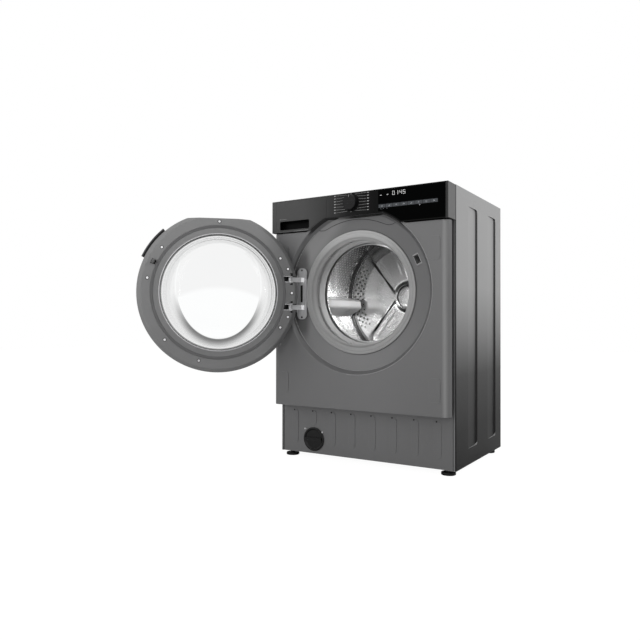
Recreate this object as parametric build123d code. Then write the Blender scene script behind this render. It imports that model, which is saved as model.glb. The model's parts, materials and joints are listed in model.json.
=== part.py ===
from build123d import *
from math import acos, atan2, cos, degrees, hypot, radians, sin, sqrt
import os

# Built-in washing machine with its door open. Millimetres. X points right for someone who faces
# the machine, Y goes into it from the front edges of the side panels, Z is height above the floor.

# Cabinet
cabinet_width = 596.0
cabinet_height = 805.0
side_depth = 437.0
foot_height = 15.0
steel = 1.0
plastic = 2.5
front_reach = 49.0
front_bottom = 171.0
front_roll = 20.0
fascia_reach = 55.5
fascia_height = 101.0
flange = 17.0
kick_y = 1.1
seat_gap = 0.2
pressing_start = 103.0
pressing_width = 86.0
pressing_depth = 5.0
pressing_corner = 13.0
pad_width = 33.0
pad_height = 66.0
pad_rise = 1.2

# Porthole, door and hinge
porthole_z = 524.0
recess_depth = 28.5
door_gap = 2.0
door_radius = 244.5
door_flat_cut = 19.5
door_front_y = -78.0
door_rim_y = -50.0
door_face_y = -34.0
door_wall = 2.5
door_ring_width = 67.0
lip_margin = 9.5
glass_wall = 5.0
glass_depth = 94.0
glass_seat = 11.0
hinge_inset = 22.5
hinge_y = -62.5
hinge_pin_radius = 4.0
door_open_angle = 136.4
arm_width = 15.0
arm_offset = 43.5
hinge_plate_offset = 21.0
hinge_plate_width = 36.0
hinge_plate_height = 162.0
hinge_plate_steel = 2.0
leaf_reach = 59.0
hinge_screw_inset = 6.5
latch_angle = 24.8
latch_inset = 31.5
latch_pin = 2.0
# Screws of the inner frame: distance in from the door's edge and angle from the right
screw_spots = [(29.5, 90), (29, 38), (29, 11), (29, -41.7), (29, -73.6), (29.5, 150.2), (21.5, 160.5),
               (22, 180), (21.5, -160.5), (29.5, -150.2)]

# Control panel and detergent drawer
drawer_left = -281.0
drawer_width = 188.0
drawer_corner = 20.0
drawer_rise = 5.0
drawer_length = 212.0
drawer_play = 0.8
tray_side = 19.0
tray_rise = 18.0
tray_slope = 42.0
tray_wall = 2.0
main_compartment = 54.0
softener_end = 104.0
grip_width = 125.0
grip_height = 27.5
grip_depth_y = -33.0
knob_x = -7.0
knob_drop = 30.0
knob_radius = 24.0
knob_height = 14.5
knob_gap = 0.7
spindle_radius = 6.0
display_left = 83.0
window_wall = 1.4
board_y = -32.0

# Drum, tub and drive
drum_radius = 235.0
drum_steel = 1.2
mouth_inset = 27.5
tub_gap = 11.0
tub_wall = 4.0
tub_front_y = 36.0
rear_stack = 71.0
shaft_radius = 14.95
shaft_end_radius = 12.45
running_gap = 0.05
pulley_radius = 140.0
pulley_hole = 30.0
hub_radius = 26.0
motor_pulley_radius = 11.0
belt_gap = 0.3
belt_wall = 3.0
belt_width = 12.0
motor_x = 105.0
motor_z = 150.0
motor_radius = 62.0
motor_ear = 52.0
rotor_radius = 42.0
rotor_shaft = 8.0
lifter_height = 55.0
neck_inset = 15.0
seam_width = 11.0
sump_depth = 22.0
sump_width = 160.0
spring_inset = 36.0
spring_rise = 128.0
spring_radius = 11.0
spring_wire = 3.0
damper_pin = 4.0
damper_radius = 13.0
damper_low_x = 215.0
damper_high_x = 158.0
hose_spot = 29.2
hose_radius = 18.0
spigot_radius = 14.0
spigot_wall = 2.5
spigot_share = 0.39
hose_margin = 10.0

# Base
cap_x = -172.5
cap_z = 61.5
cap_radius = 37.5
foot_x_inset = 30.0
foot_front_y = 22.0
foot_rear_inset = 42.0
foot_radius = 21.0
rib_pitch = 69.6
rib_width = 22.0
pump_back = 97.0
pump_radius = 30.0
pump_wall = 4.0
rail_width = 20.0
rail_height = 11.5
rail_steel = 1.5

# Openings in the rear panel
inlet_radius = 13.2
drain_x_inset = 48.0
drain_z = 62.0
drain_radius = 10.5
gland_inset = 60.0
gland_radius = 9.0
lead_radius = 4.1
cover_margin = 22.0

half = cabinet_width / 2
top_z = foot_height + cabinet_height
fascia_z = top_z - fascia_height
front_top = fascia_z - 3
recess_radius = door_radius + door_gap
door_flat = door_radius - door_flat_cut
glass_radius = door_radius - door_ring_width
lip_radius = glass_radius + lip_margin
latch_radius = door_radius - latch_inset
notch_radius = recess_radius + 1
notch_z = porthole_z + door_flat + 3
tub_inner = drum_radius + drum_steel + tub_gap
tub_outer = tub_inner + tub_wall
tub_back_y = side_depth - rear_stack
tub_seam_y = (tub_front_y + tub_back_y) / 2
drum_front_y = tub_front_y + 12
drum_back_y = tub_back_y - 16
drum_mouth = glass_radius - mouth_inset
pulley_y = tub_back_y + 45
neck_radius = lip_radius - neck_inset
seam_radius = tub_outer + seam_width
sump_y0 = tub_front_y + 20
sump_y1 = tub_seam_y - 10
sump_z = porthole_z - tub_outer - sump_depth
sump_out = (-55.0, (sump_y0 + sump_y1) / 2)
rail_z = top_z - 13
spring_x = half - spring_inset
spring_y = tub_back_y - 110
spring_low_z = porthole_z + spring_rise
spring_high_z = top_z - 34
damper_y = tub_back_y - 135
damper_low_z = foot_height + 24
damper_high_z = porthole_z - tub_outer + 22
motor_y0 = tub_back_y - 85
motor_y1 = tub_back_y + 24
drawer_z = fascia_z + drawer_rise
drawer_right = drawer_left + drawer_width
drawer_back = -fascia_reach + 4
tray_left = drawer_left + tray_side
tray_right = drawer_right - 15
tray_low = fascia_z + tray_rise
tray_high = top_z - 20
housing_end = drawer_back + drawer_length + 12
knob_z = top_z - knob_drop
recess_floor_y = -front_reach + recess_depth
hinge_x = -(door_radius - hinge_inset)
hinge_plate_x = hinge_x + hinge_plate_offset
hinge_seat_y = recess_floor_y - 4.9
flange_y = door_face_y - glass_seat
inlet_x = tray_left + 30
inlet_z = tray_high - 18
drain_x = -half + drain_x_inset
gland_x = half - gland_inset
gland_z = top_z - gland_inset
cover_radius = pulley_radius + cover_margin


def block(x0, x1, y0, y1, z0, z1):
    return Pos((x0 + x1) / 2, (y0 + y1) / 2, (z0 + z1) / 2) * Box(x1 - x0, y1 - y0, z1 - z0)


def barrel(radius, y0, y1, x=0.0, z=0.0):
    return Pos(x, (y0 + y1) / 2, z) * Rot(90, 0, 0) * Cylinder(radius, y1 - y0)


def ring(inner, outer, y0, y1, x=0.0, z=0.0):
    return barrel(outer, y0, y1, x, z) - barrel(inner, y0 - 1, y1 + 1, x, z)


def post(radius, z0, z1, x, y):
    return Pos(x, y, (z0 + z1) / 2) * Cylinder(radius, z1 - z0)


def outline(points, radii=0.0):
    return make_face(FilletPolyline(*points, radius=radii, close=True))


def rect(x0, x1, z0, z1):
    return [(x0, z0), (x1, z0), (x1, z1), (x0, z1)]


def turned(points, radii=0.0, x=0.0, z=porthole_z):
    """Turn an outline of (radius, y) points about an axis along Y."""
    return Pos(x, 0, z) * revolve(outline(points, radii), Axis.Y)


def strip(points, radii, wall, side=Side.LEFT):
    """The section of a bent sheet, its wall to one side of the line."""
    return make_face(offset(FilletPolyline(*points, radius=radii), amount=wall, side=side))


def upright(points, z0, z1, radii=0.0):
    """Extrude a plan outline of (x, y) points upwards."""
    return Pos(0, 0, z0) * extrude(outline(points, radii), z1 - z0)


def along(points, y0, y1, radii=0.0):
    """Extrude an outline of (x, z) points from y0 to y1."""
    return Pos(0, y1, 0) * extrude(Plane.XZ * outline(points, radii), y1 - y0)


def across(points, x0, x1, radii=0.0):
    """Extrude an outline of (y, z) points from x0 to x1."""
    return Pos(x0, 0, 0) * extrude(Plane.YZ * outline(points, radii), x1 - x0)


def mirrored(shape):
    return mirror(shape, about=Plane.YZ)


def both_sides(shape):
    return [shape, mirrored(shape)]


def opened(shape):
    return shape.rotate(Axis((hinge_x, hinge_y, 0), (0, 0, 1)), -door_open_angle)


def on_circle(radius, angle):
    """Point at an angle round the porthole, from the right, anticlockwise seen from the front."""
    return radius * cos(radians(angle)), porthole_z + radius * sin(radians(angle))


# Side panels: bent sheet with two wedge-shaped pressings each
def pressed(start, skin):
    back = start + pressing_width
    step = back - 6
    bottom, top = foot_height + 48 - skin, top_z - 45 + skin
    near = half + 1 if skin == 0 else half - steel / 2
    wedge = upright([(near, start - skin), (half - skin, start - skin), (half - pressing_depth - skin, step),
                     (half - skin, back + skin), (near, back + skin)], bottom, top)
    corner = pressing_corner + skin
    return wedge & across([(start - 9, bottom), (back + skin, bottom), (back + skin, top), (start - 9, top)],
                          half - 20, half + 2, [0, corner, corner, 0])


def side_panel_right():
    skin = strip([(half - flange - 9, 2.2), (half - 9, 2.2), (half - 7, 0), (half, 0), (half, side_depth),
                  (half - flange, side_depth)], [1.2, 1.2, 4, 2], steel)
    panel = Pos(0, 0, foot_height) * extrude(skin, cabinet_height - steel)
    for start in (pressing_start, side_depth - pressing_width - 61):
        panel = panel + pressed(start, steel) - pressed(start, 0)
    return panel


# Front panel: pressed pan with rolled edges and a dished porthole
recess_line = [(recess_radius + 8, -front_reach), (recess_radius, -front_reach),
               (recess_radius - 10.5, -front_reach + 18), (lip_radius, recess_floor_y),
               (lip_radius - 3, recess_floor_y + 12)]


def notch_half(z, margin):
    """Half the width of the porthole's outline at a height, grown by a margin."""
    return sqrt((notch_radius + margin) ** 2 - (z - porthole_z) ** 2)


def hinge_outline(margin, y0, y1):
    """The hinge plate's rounded outline, grown by a margin, as a slab from y0 to y1."""
    x0 = hinge_plate_x - hinge_plate_width / 2 - margin
    x1 = hinge_plate_x + hinge_plate_width / 2 + margin
    reach = hinge_plate_height / 2 + margin
    return along(rect(x0, x1, porthole_z - reach, porthole_z + reach), y0, y1, 15 + margin)


def front_panel():
    edge, inset = half - 2, half - 11
    line = [(-inset, 1.9), (-inset, -26), (-edge, -26), (-edge, -front_reach),
            (edge, -front_reach), (edge, -26), (inset, -26), (inset, 1.9)]
    pan = Pos(0, 0, front_bottom) * extrude(
        strip(line, [1.3, 1.3, front_roll, front_roll, 1.3, 1.3], steel), notch_z + 10 - front_bottom)
    low, high = notch_half(front_top - 1, 0) + 7.7, notch_half(notch_z, 0) + 7.7
    bump = along([(-low, front_top - 1), (-high, notch_z + 10), (high, notch_z + 10), (low, front_top - 1)],
                 -60, 4)
    above = block(-half, half, -front_reach - 2, 3, front_top, notch_z + 11) - bump
    below_cut = block(-half, half, -60, 0, 0, notch_z)
    dish = Pos(0, 0, porthole_z) * revolve(strip(recess_line, [3, 5, 3], steel, Side.RIGHT), Axis.Y)
    hollow = turned([(0, -front_reach), *recess_line[1:4], (0, recess_floor_y)])
    flat = (hollow + dish) & block(-half, half, -60, 0, notch_z, notch_z + steel)
    hole = barrel(recess_radius + 7.9, -front_reach - 1, -front_reach + 2, 0, porthole_z)
    panel = (pan - above) - (hole & below_cut)
    panel = panel + (dish & below_cut) + flat

    # A flat seat for the hinge plate, partly sunk and partly raised on the dished floor
    mouth = barrel(lip_radius + 1, -60, 0, 0, porthole_z)
    wall = hinge_outline(1 + steel, -60, 0) - hinge_outline(1, -61, 1)
    sunk = (wall & block(-half, 0, -front_reach + 4, hinge_seat_y + steel, 0, top_z)) - hollow
    raised = wall & block(-half, 0, hinge_seat_y, 0, 0, top_z) & (hollow + dish)
    seat = hinge_outline(1 + steel, hinge_seat_y, hinge_seat_y + steel)
    panel = panel - (hinge_outline(1, -60, 0) - mouth) + ((seat + sunk + raised) - mouth)

    pad_z = (front_bottom + 40, fascia_z - 45 - pad_height)
    for side in (-1, 1):
        for z in pad_z:
            x = side * (half - 44)
            pad = rect(x - pad_width / 2, x + pad_width / 2, z, z + pad_height)
            panel += along(pad, -front_reach - pad_rise, -front_reach, 8)
    for side in (-1, 1):
        z = porthole_z + side * (hinge_plate_height / 2 - hinge_screw_inset)
        panel -= barrel(2.1, -60, 0, hinge_plate_x, z)
    lock_x, lock_z = on_circle(latch_radius, latch_angle)
    panel -= Pos(lock_x, 0, lock_z) * Rot(0, -latch_angle, 0) * block(-9, 9, -60, 0, -17, 17)
    return panel


def kick_panel():
    edge, top = half - 10, front_bottom - 4
    panel = block(-edge, edge, kick_y, kick_y + steel, foot_height + 1, top)
    panel -= barrel(cap_radius - 2, -1, 5, cap_x, cap_z)
    for i in range(8):
        x = (i - 3.5) * rib_pitch
        low = foot_height + 32
        if abs(x - cap_x) < cap_radius:
            low = cap_z + cap_radius + 8
        wide, high = rib_width / 2, top - 15
        panel += along(rect(x - wide, x + wide, low, high), kick_y - 1.5, kick_y, wide - 0.2)
        wide -= steel
        hollow = rect(x - wide, x + wide, low + steel, high - steel)
        panel -= along(hollow, kick_y - 0.6, kick_y + 2, wide - 0.2)
    return panel


def frame_rails():
    """Three folded rails that tie the side panels, and the brackets that the springs hang from."""
    x = half - steel - seat_gap
    rails = []
    for y0, z0 in ((4, rail_z), (side_depth - 24, rail_z), (5, front_bottom - 2)):
        y1, z1 = y0 + rail_width, z0 + rail_height
        room = block(-half, half, y0 + rail_steel, y1 - rail_steel, z0 - 1, z1 - rail_steel)
        rails.append(block(-x, x, y0, y1, z0, z1) - room)
    z = spring_high_z + 0.3
    arm = block(spring_x - 14, x, spring_y - 14, spring_y + 14, z, z + 4)
    arm += block(x - 3, x, spring_y - 14, spring_y + 14, z - 30, z + 20)
    return rails + both_sides(arm)


def top_panel():
    return block(-half, half, 0, side_depth, top_z - steel, top_z)


def rear_panel():
    panel = block(-half + 1.5, half - 1.5, side_depth, side_depth + steel, foot_height, top_z)
    panel -= barrel(cover_radius - 8, 0, side_depth + 5, 0, porthole_z)
    panel -= barrel(inlet_radius + 2, 0, side_depth + 5, inlet_x, inlet_z)
    panel -= barrel(drain_radius + 2, 0, side_depth + 5, drain_x, drain_z)
    panel -= barrel(gland_radius + 0.5, 0, side_depth + 5, gland_x, gland_z)
    return panel


def rear_cover():
    y = side_depth + steel
    line = [(cover_radius, y), (cover_radius - 16, y), (cover_radius - 24, y + 13), (0, y + 13)]
    inner = [(0, y + 13 + steel), (cover_radius - 24.6, y + 13 + steel), (cover_radius - 16.6, y + steel),
             (cover_radius, y + steel)]
    return turned(line + inner)


def base_tray():
    x, y0, y1 = half - steel - seat_gap, 4.5, side_depth - 2
    tray = block(-x, x, y0, y1, foot_height, foot_height + 26)
    tray -= block(-x + 1.5, x - 1.5, y0 + 1.5, y1 - 1.5, foot_height + 1.5, foot_height + 30)
    tray -= block(cap_x - cap_radius - 3, cap_x + cap_radius + 3, 0, 12, cap_z - cap_radius - 3, 90)
    for px, py in foot_places():
        tray += post(11, foot_height + 1.5, foot_height + 21, px, py)
        tray -= post(5 + running_gap, 0, foot_height + 30, px, py)
    for side in (-1, 1):
        for dy in (-14, 8):
            y, x0 = damper_y + dy, side * damper_low_x
            tray += block(x0 - 9, x0 + 9, y, y + 6, foot_height + 1.5, damper_low_z + 8)
        tray -= barrel(damper_pin, damper_y - 15, damper_y + 15, side * damper_low_x, damper_low_z)
    return tray


def foot_places():
    x = half - foot_x_inset
    return [(side * x, y) for y in (foot_front_y, side_depth - foot_rear_inset) for side in (-1, 1)]


def foot(x, y):
    disc = post(foot_radius, 0, 8, x, y)
    disc = fillet(disc.edges(), 2)
    return disc + post(8, 8, 12.5, x, y) + post(5, 12, foot_height + 32, x, y)


# Control panel
def notch_cut(radius, z):
    return barrel(radius, -90, 20, 0, porthole_z) & block(-half, half, -90, 20, 0, z)


def drawer_outline(margin):
    left, right = drawer_left - margin, drawer_right + margin
    low, high = drawer_z - margin, top_z - 3 + margin
    face = along(rect(left, right, low, high), -fascia_reach - 5, 0, [drawer_corner + margin, 2, 2, 2])
    return face - notch_cut(notch_radius + 3 - margin, notch_z + 3 - margin)


def control_fascia():
    back = -front_reach - 1
    outer, inner = half - 1, half - 1 - plastic
    body = along(rect(-outer, outer, fascia_z, top_z), -fascia_reach, -0.3, 1.5)
    inside = block(-inner, inner, -fascia_reach + plastic, 5, fascia_z + plastic, top_z - plastic)
    inside -= notch_cut(notch_radius + plastic, notch_z + plastic)
    open_bottom = block(-inner, inner, back, 5, fascia_z - 1, fascia_z + 60)
    body = body - inside - open_bottom - notch_cut(notch_radius, notch_z) - drawer_outline(0.5)
    body -= barrel(spindle_radius + 2, -70, 0, knob_x, knob_z)
    return body - display_shape(0, -fascia_reach - 1, -fascia_reach + window_wall + 0.05)


def display_shape(margin, y0, y1):
    left, right = display_left + margin, half - 9.5 - margin
    low, high = fascia_z + 3 + margin, top_z - 3 - margin
    shape = along(rect(left, right, low, high), y0, y1, 1.5)
    return shape - notch_cut(notch_radius + plastic + 1 + margin, notch_z + plastic + 1 + margin)


def display_window():
    return display_shape(0.1, -fascia_reach, -fascia_reach + window_wall)


def program_knob():
    y = -fascia_reach - knob_gap
    body = turned([(0, y), (knob_radius, y), (knob_radius, y - 4), (knob_radius - 2.5, y - knob_height),
                   (0, y - knob_height)], [0, 0.4, 1, 1.5, 0], knob_x, knob_z)
    r, face = knob_radius, y - knob_height
    grip = block(knob_x - r, knob_x + r, face - 1, face + 3, knob_z - 4, knob_z + 4)
    side = block(knob_x - r - 5, knob_x + r + 5, face - 1, face + 1, knob_z - 40, knob_z + 40)
    return body - (side - grip) + barrel(spindle_radius, y - 1, y + 16, knob_x, knob_z)


def ui_board():
    """Circuit board with the encoder that the knob turns and the display behind its window."""
    right = half - 13
    board = block(-60, right, board_y, board_y + 1.6, notch_z + 13, top_z - 8)
    encoder = block(knob_x - 14, knob_x + 14, -46, board_y, knob_z - 14, knob_z + 14)
    encoder -= barrel(spindle_radius + running_gap, -50, board_y + 0.01, knob_x, knob_z)
    display = block(display_left + 5, right - 3, -fascia_reach + plastic + 0.3, board_y,
                    notch_z + 20, top_z - 12)
    return [board, encoder, display]


def power_module():
    """Finned box of the motor's electronics on its stand in the tray."""
    x, low, high = half - 95, foot_height + 30, foot_height + 78
    case = block(x, x + 83, 30, 190, low, high)
    case = fillet(case.edges().filter_by(Axis.Z), 5)
    for i in range(6):
        case += block(x + 5 + i * 12, x + 11 + i * 12, 40, 180, high, high + 12)
    return case + block(x + 5, x + 75, 60, 160, foot_height + 1.5, low)


# Detergent drawer and its housing
tray_bend = tray_left + 81
tray_section = [(tray_left, tray_low), (tray_bend, tray_low), (tray_right, tray_low + tray_slope),
                (tray_right, tray_high), (tray_left, tray_high)]
grip_low = drawer_z + 2.5
grip_left = drawer_left + 14
grip_right = -notch_half(grip_low - 2, 5.3) - 2
dispenser_hose_at = (-(tub_outer - hose_spot), housing_end - 32)


def grown(points, amount):
    """The (x, z) outline moved outwards by amount, corners kept sharp, extruded later."""
    return offset(outline(points), amount=amount, kind=Kind.INTERSECTION)


def along_face(face, y0, y1):
    return Pos(0, y1, 0) * extrude(Plane.XZ * face, y1 - y0)


def drawer_front():
    shape = drawer_outline(0) & block(-half, half, -fascia_reach, drawer_back, fascia_z, top_z)
    left, right, low, high = grip_left, grip_right, grip_low, grip_low + grip_height
    shape += along(rect(left - 2, right + 2, low - 2, high + 2), drawer_back, grip_depth_y, 6)
    return shape - along(rect(left, right, low, high), -fascia_reach - 1, grip_depth_y - 2, 4.5)


def drawer_tray():
    y0, y1 = drawer_back, drawer_back + drawer_length
    tray = along_face(outline(tray_section), y0, y1)
    wall = tray_wall
    front = grip_depth_y + 2.5
    pocket = block(tray_left - 5, grip_right + 2.2, y0 - 1, grip_depth_y + seat_gap, tray_low - 5,
                   grip_low + grip_height + 2.2)
    inner = along_face(grown(tray_section, -wall), front + 0.5, y1 - wall)
    left, right = tray_left + wall, tray_right - wall
    inner += block(left, right, front + 0.5, y1 - wall, tray_high - 10, tray_high + 1)
    tray = tray - inner - pocket - block(left, right, y0 - 1, front, tray_high - 12, tray_high + 1)
    slope = tray_slope / (tray_right - tray_bend)
    for x in (tray_left + main_compartment, tray_left + softener_end):
        low = tray_low + 1 + max(0, (x - tray_bend) * slope)
        tray += block(x - 1, x + 1, front, y1 - 1, low, tray_high - 12)
    return tray


def siphon_cap():
    """Cover of the softener compartment, seated between the tray's partitions."""
    x0, x1 = tray_left + main_compartment - 1, tray_left + softener_end + 1
    cap = block(x0, x1, 60, 150, tray_high - 12, tray_high - 9.5)
    return cap + post(7, tray_low + 20, tray_high - 12, (x0 + x1) / 2, 128)


def tub_half(rise):
    """Half the tub's width at a height above or below its axis."""
    return sqrt(tub_outer ** 2 - rise ** 2)


tub_top_z = porthole_z + tub_half(dispenser_hose_at[0] + hose_radius)
spigot_room = tray_low - tub_top_z
tub_spigot_z = tub_top_z + spigot_share * spigot_room
housing_spigot_z = tray_low - spigot_share * spigot_room


def dispenser_housing():
    inner = grown(tray_section, drawer_play)
    outer = grown(tray_section, drawer_play + plastic)
    shell = along_face(outer, -31, housing_end) - along_face(inner, -32, housing_end - plastic)
    shell += block(tray_left + 20, tray_left + 60, 6, 22, tray_high + 2, rail_z - 0.3)
    shell += ring(5, 8, housing_end - 0.5, housing_end + 8, tray_left + 30, tray_high - 18)
    shell -= barrel(5, housing_end - 4, housing_end + 9, tray_left + 30, tray_high - 18)
    x, y = dispenser_hose_at
    shell += post(spigot_radius, housing_spigot_z, tray_low - 2, x, y)
    return shell - post(spigot_radius - spigot_wall, housing_spigot_z - 1, tray_low + 1, x, y)


def inlet_valve():
    x, y, z = inlet_x, side_depth, inlet_z
    body = block(x - 17, x + 17, y - 48, y - seat_gap, z - 17, z + 17)
    body = fillet(body.edges().filter_by(Axis.Y), 4)
    body += block(x - 10, x + 10, y - 42, y - 14, z - 52, z - 16)
    body += barrel(8, y - 58, y - 40, x, z) + barrel(inlet_radius, y - 4, y + 13, x, z)
    return body - barrel(9, y - 10, y + 14, x, z)


def pipe(points, bend, outer, inner):
    """A hose along straight runs joined by arcs."""
    line = FilletPolyline(*points, radius=bend)
    section = Plane(origin=line @ 0, z_dir=line % 0)
    return sweep(section * Circle(outer), path=line) - sweep(section * Circle(inner), path=line)


def water_hoses():
    """Dispenser to tub, inlet valve to dispenser, and pump to the rear spigot."""
    x, y = dispenser_hose_at
    to_tub = post(hose_radius, tub_top_z + hose_margin, tray_low - hose_margin, x, y)
    to_tub -= post(spigot_radius + seat_gap, 0, top_z, x, y)
    filling = ring(8.2, 10.5, housing_end + 0.5, side_depth - 49, inlet_x, inlet_z)
    drain = pipe([(cap_x - 36, pump_back + 14, drain_z), (drain_x, pump_back + 14, drain_z),
                  (drain_x, side_depth - 6, drain_z)], 28, 11, 8.2)
    return [to_tub, filling, drain]


def drain_spigot():
    y = side_depth
    body = ring(7.5, drain_radius, y - 5.9, y + 26, drain_x, drain_z)
    return body + ring(7.5, 18, y + steel, y + steel + 2.5, drain_x, drain_z)


def mains_inlet():
    """Cable gland of the supply lead in the rear panel; the lead itself isn't part of the model."""
    y = side_depth
    gland = barrel(gland_radius, y - 14, y + steel + 12, gland_x, gland_z)
    gland += barrel(14, y + steel, y + steel + 4, gland_x, gland_z)
    gland += block(gland_x - 13, gland_x + 13, y - 34, y - 12, gland_z - 13, gland_z + 13)
    return gland - barrel(lead_radius, y - 35, y + 20, gland_x, gland_z)


# Tub, gasket and weights
def tub_front():
    y0, y1 = tub_front_y, tub_seam_y
    tub = turned([(neck_radius - 4, y0 - 12), (neck_radius, y0 - 12), (neck_radius, y0), (tub_outer, y0),
                  (tub_outer, y1 - 5), (seam_radius, y1 - 5), (seam_radius, y1), (tub_inner, y1),
                  (tub_inner, y0 + tub_wall), (neck_radius - 4, y0 + tub_wall)],
                 [0, 0, 2, 14, 2, 0, 0, 0, 10, 0])
    bore = barrel(tub_inner, y0 + tub_wall, y1 + 1, 0, porthole_z)
    x = sump_width / 2
    sump = block(-x, x, sump_y0, sump_y1, sump_z, sump_z + 60)
    room = block(3 - x, x - 3, sump_y0 + 3, sump_y1 - 3, sump_z + 3, sump_z + 62)
    tub = tub + (sump - bore) - room
    x, y = dispenser_hose_at
    low = porthole_z + tub_half(x) - 25
    spigot = post(spigot_radius, low, tub_spigot_z, x, y)
    tub = tub + (spigot - bore) - post(spigot_radius - spigot_wall, low - 15, tub_spigot_z + 1, x, y)
    tub += post(hose_radius, sump_z - 16, sump_z + 2, *sump_out)
    tub -= post(hose_radius - 3, sump_z - 17, sump_z + 4, *sump_out)
    return tub - block(-26, 26, sump_y0 - 1, sump_y0 + 4, sump_z + 5, sump_z + 19)


def tub_rear():
    y0, y1 = tub_seam_y, tub_back_y
    hub = 42
    tub = turned([(tub_inner, y0), (seam_radius, y0), (seam_radius, y0 + 5), (tub_outer, y0 + 5),
                  (tub_outer, y1 + tub_wall), (hub, y1 + tub_wall), (hub, y1 + 42), (26, y1 + 42),
                  (26, y1 + 25), (31, y1 + 25), (31, y1), (tub_inner, y1)],
                 [0, 0, 0, 2, 14, 6, 1, 0, 0, 0, 0, 10])
    bore = barrel(tub_inner, y0 - 1, y1, 0, porthole_z)
    for i in range(12):
        rib = block(hub - 2, tub_outer - 12, y1 + tub_wall - 0.5, y1 + tub_wall + 14, -2, 2)
        rib = Pos(0, 0, porthole_z) * Rot(0, 15 + i * 30, 0) * rib
        tub += rib
    for side in (-1, 1):
        ends = sorted((side * (tub_half(spring_rise) - 12), side * (spring_x + 12)))
        lug = block(*ends, spring_y - 9, spring_y + 9, spring_low_z - 16, spring_low_z)
        tub += lug - bore
        for dy in (-14, 8):
            ear = along([(side * (damper_high_x - 16), damper_high_z + 40),
                         (side * (damper_high_x + 16), damper_high_z + 60),
                         (side * (damper_high_x + 10), damper_high_z - 9),
                         (side * (damper_high_x - 10), damper_high_z - 9)], damper_y + dy, damper_y + dy + 6)
            tub += ear - bore
        tub -= barrel(damper_pin, damper_y - 15, damper_y + 15, side * damper_high_x, damper_high_z)
    for x in (motor_x - motor_ear, motor_x + motor_ear):
        ear = block(x - 9, x + 9, motor_y0 + 20, motor_y0 + 46 - seat_gap, motor_z + 45,
                    porthole_z - tub_half(x + 9) + 3)
        tub += ear - bore
    return tub


def motor_housing():
    y0, y1 = motor_y0, motor_y1
    body = barrel(motor_radius, y0, y1, motor_x, motor_z)
    body = fillet(body.edges(), 5)
    body -= barrel(rotor_radius + 1, y0 + 14, y1 - 14, motor_x, motor_z)
    body -= barrel(rotor_shaft + running_gap, y0 - 1, y1 + 1, motor_x, motor_z)
    for x in (motor_x - motor_ear, motor_x + motor_ear):
        ear = block(x - 9, x + 9, y0 + 46, y0 + 62, motor_z + 20, motor_z + 62)
        body += ear - barrel(motor_radius - 6, y0, y1, motor_x, motor_z)
    return body


def motor_rotor():
    """Rotor on its shaft, and the small pulley with its flange."""
    core = barrel(rotor_radius, motor_y0 + 18, motor_y1 - 18, motor_x, motor_z)
    core += barrel(rotor_shaft, motor_y0 + 4, pulley_y + belt_width + 3, motor_x, motor_z)
    y0, y1 = pulley_y - 1, pulley_y + belt_width + 1
    pulley = ring(rotor_shaft, motor_pulley_radius, y0, y1, motor_x, motor_z)
    return [core, pulley + ring(rotor_shaft, motor_pulley_radius + 5, y0 - 1.5, y0, motor_x, motor_z)]


def belt_loop(extra):
    """Two circles and their outer tangents."""
    big, small = pulley_radius + extra, motor_pulley_radius + extra
    dx, dz = motor_x, motor_z - porthole_z
    reach, turn = hypot(dx, dz), atan2(dz, dx)
    lean = acos((big - small) / reach)
    face = Circle(big) + Pos(dx, dz) * Circle(small)
    corners = []
    for side in (1, -1):
        angle = turn + side * lean
        corners.append([(r * cos(angle) + ox, r * sin(angle) + oz)
                        for r, ox, oz in ((big, 0, 0), (small, dx, dz))])
    return face + make_face(Polyline(corners[0][0], corners[0][1], corners[1][1], corners[1][0], close=True))


def drive_belt():
    y0, y1 = pulley_y, pulley_y + belt_width
    face = belt_loop(belt_gap + belt_wall) - belt_loop(belt_gap)
    return Pos(0, 0, porthole_z) * along_face(face, y0, y1)


def bearing(inner, outer, y0, y1):
    """Deep-groove ball bearing: two races and the balls between them."""
    wall = (outer - inner) * 0.3
    middle, ball = (inner + outer) / 2, (outer - inner) * 0.2
    races = [ring(low, low + wall, y0, y1, 0, porthole_z) for low in (inner, outer - wall)]
    count = int(6.28 * middle / (2.5 * ball))
    balls = []
    for i in range(count):
        x, z = on_circle(middle, 360 * i / count)
        balls.append(Pos(x, (y0 + y1) / 2, z) * Sphere(ball - 0.05))
    return races + balls


def drum_bearings():
    return (bearing(shaft_radius + running_gap, 31, tub_back_y + 9, tub_back_y + 25)
            + bearing(shaft_end_radius + running_gap, 26, tub_back_y + 25.3, tub_back_y + 40))


def shaft_seal():
    return ring(shaft_radius + 0.3, 31, tub_back_y + 0.5, tub_back_y + 8.5, 0, porthole_z)


def drum_shaft():
    y0, y1 = drum_back_y + 2, tub_back_y + 25.1
    shaft = barrel(shaft_radius, y0, y1, 0, porthole_z)
    return shaft + barrel(shaft_end_radius, y1 - 1, pulley_y + belt_width + 2, 0, porthole_z)


def drum_shell():
    """Rolled sheet with the front ring folded on and turned in round the mouth."""
    t, r, y0, y1 = drum_steel, drum_radius + drum_steel, drum_front_y, drum_back_y
    return turned([(drum_radius, y1), (drum_radius, y0 + t), (drum_mouth, y0 + t), (drum_mouth, y0 - 4),
                   (drum_mouth + t, y0 - 4), (drum_mouth + t, y0), (r, y0), (r, y1)],
                  [0, 10, 2, 0, 0, 0.8, 11, 0])


def drum_rear():
    y = drum_back_y
    r = drum_radius + drum_steel
    return turned([(0, y + 0.2), (r, y + 0.2), (r, y + drum_steel + 0.2), (0, y + drum_steel + 0.2)])


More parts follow.
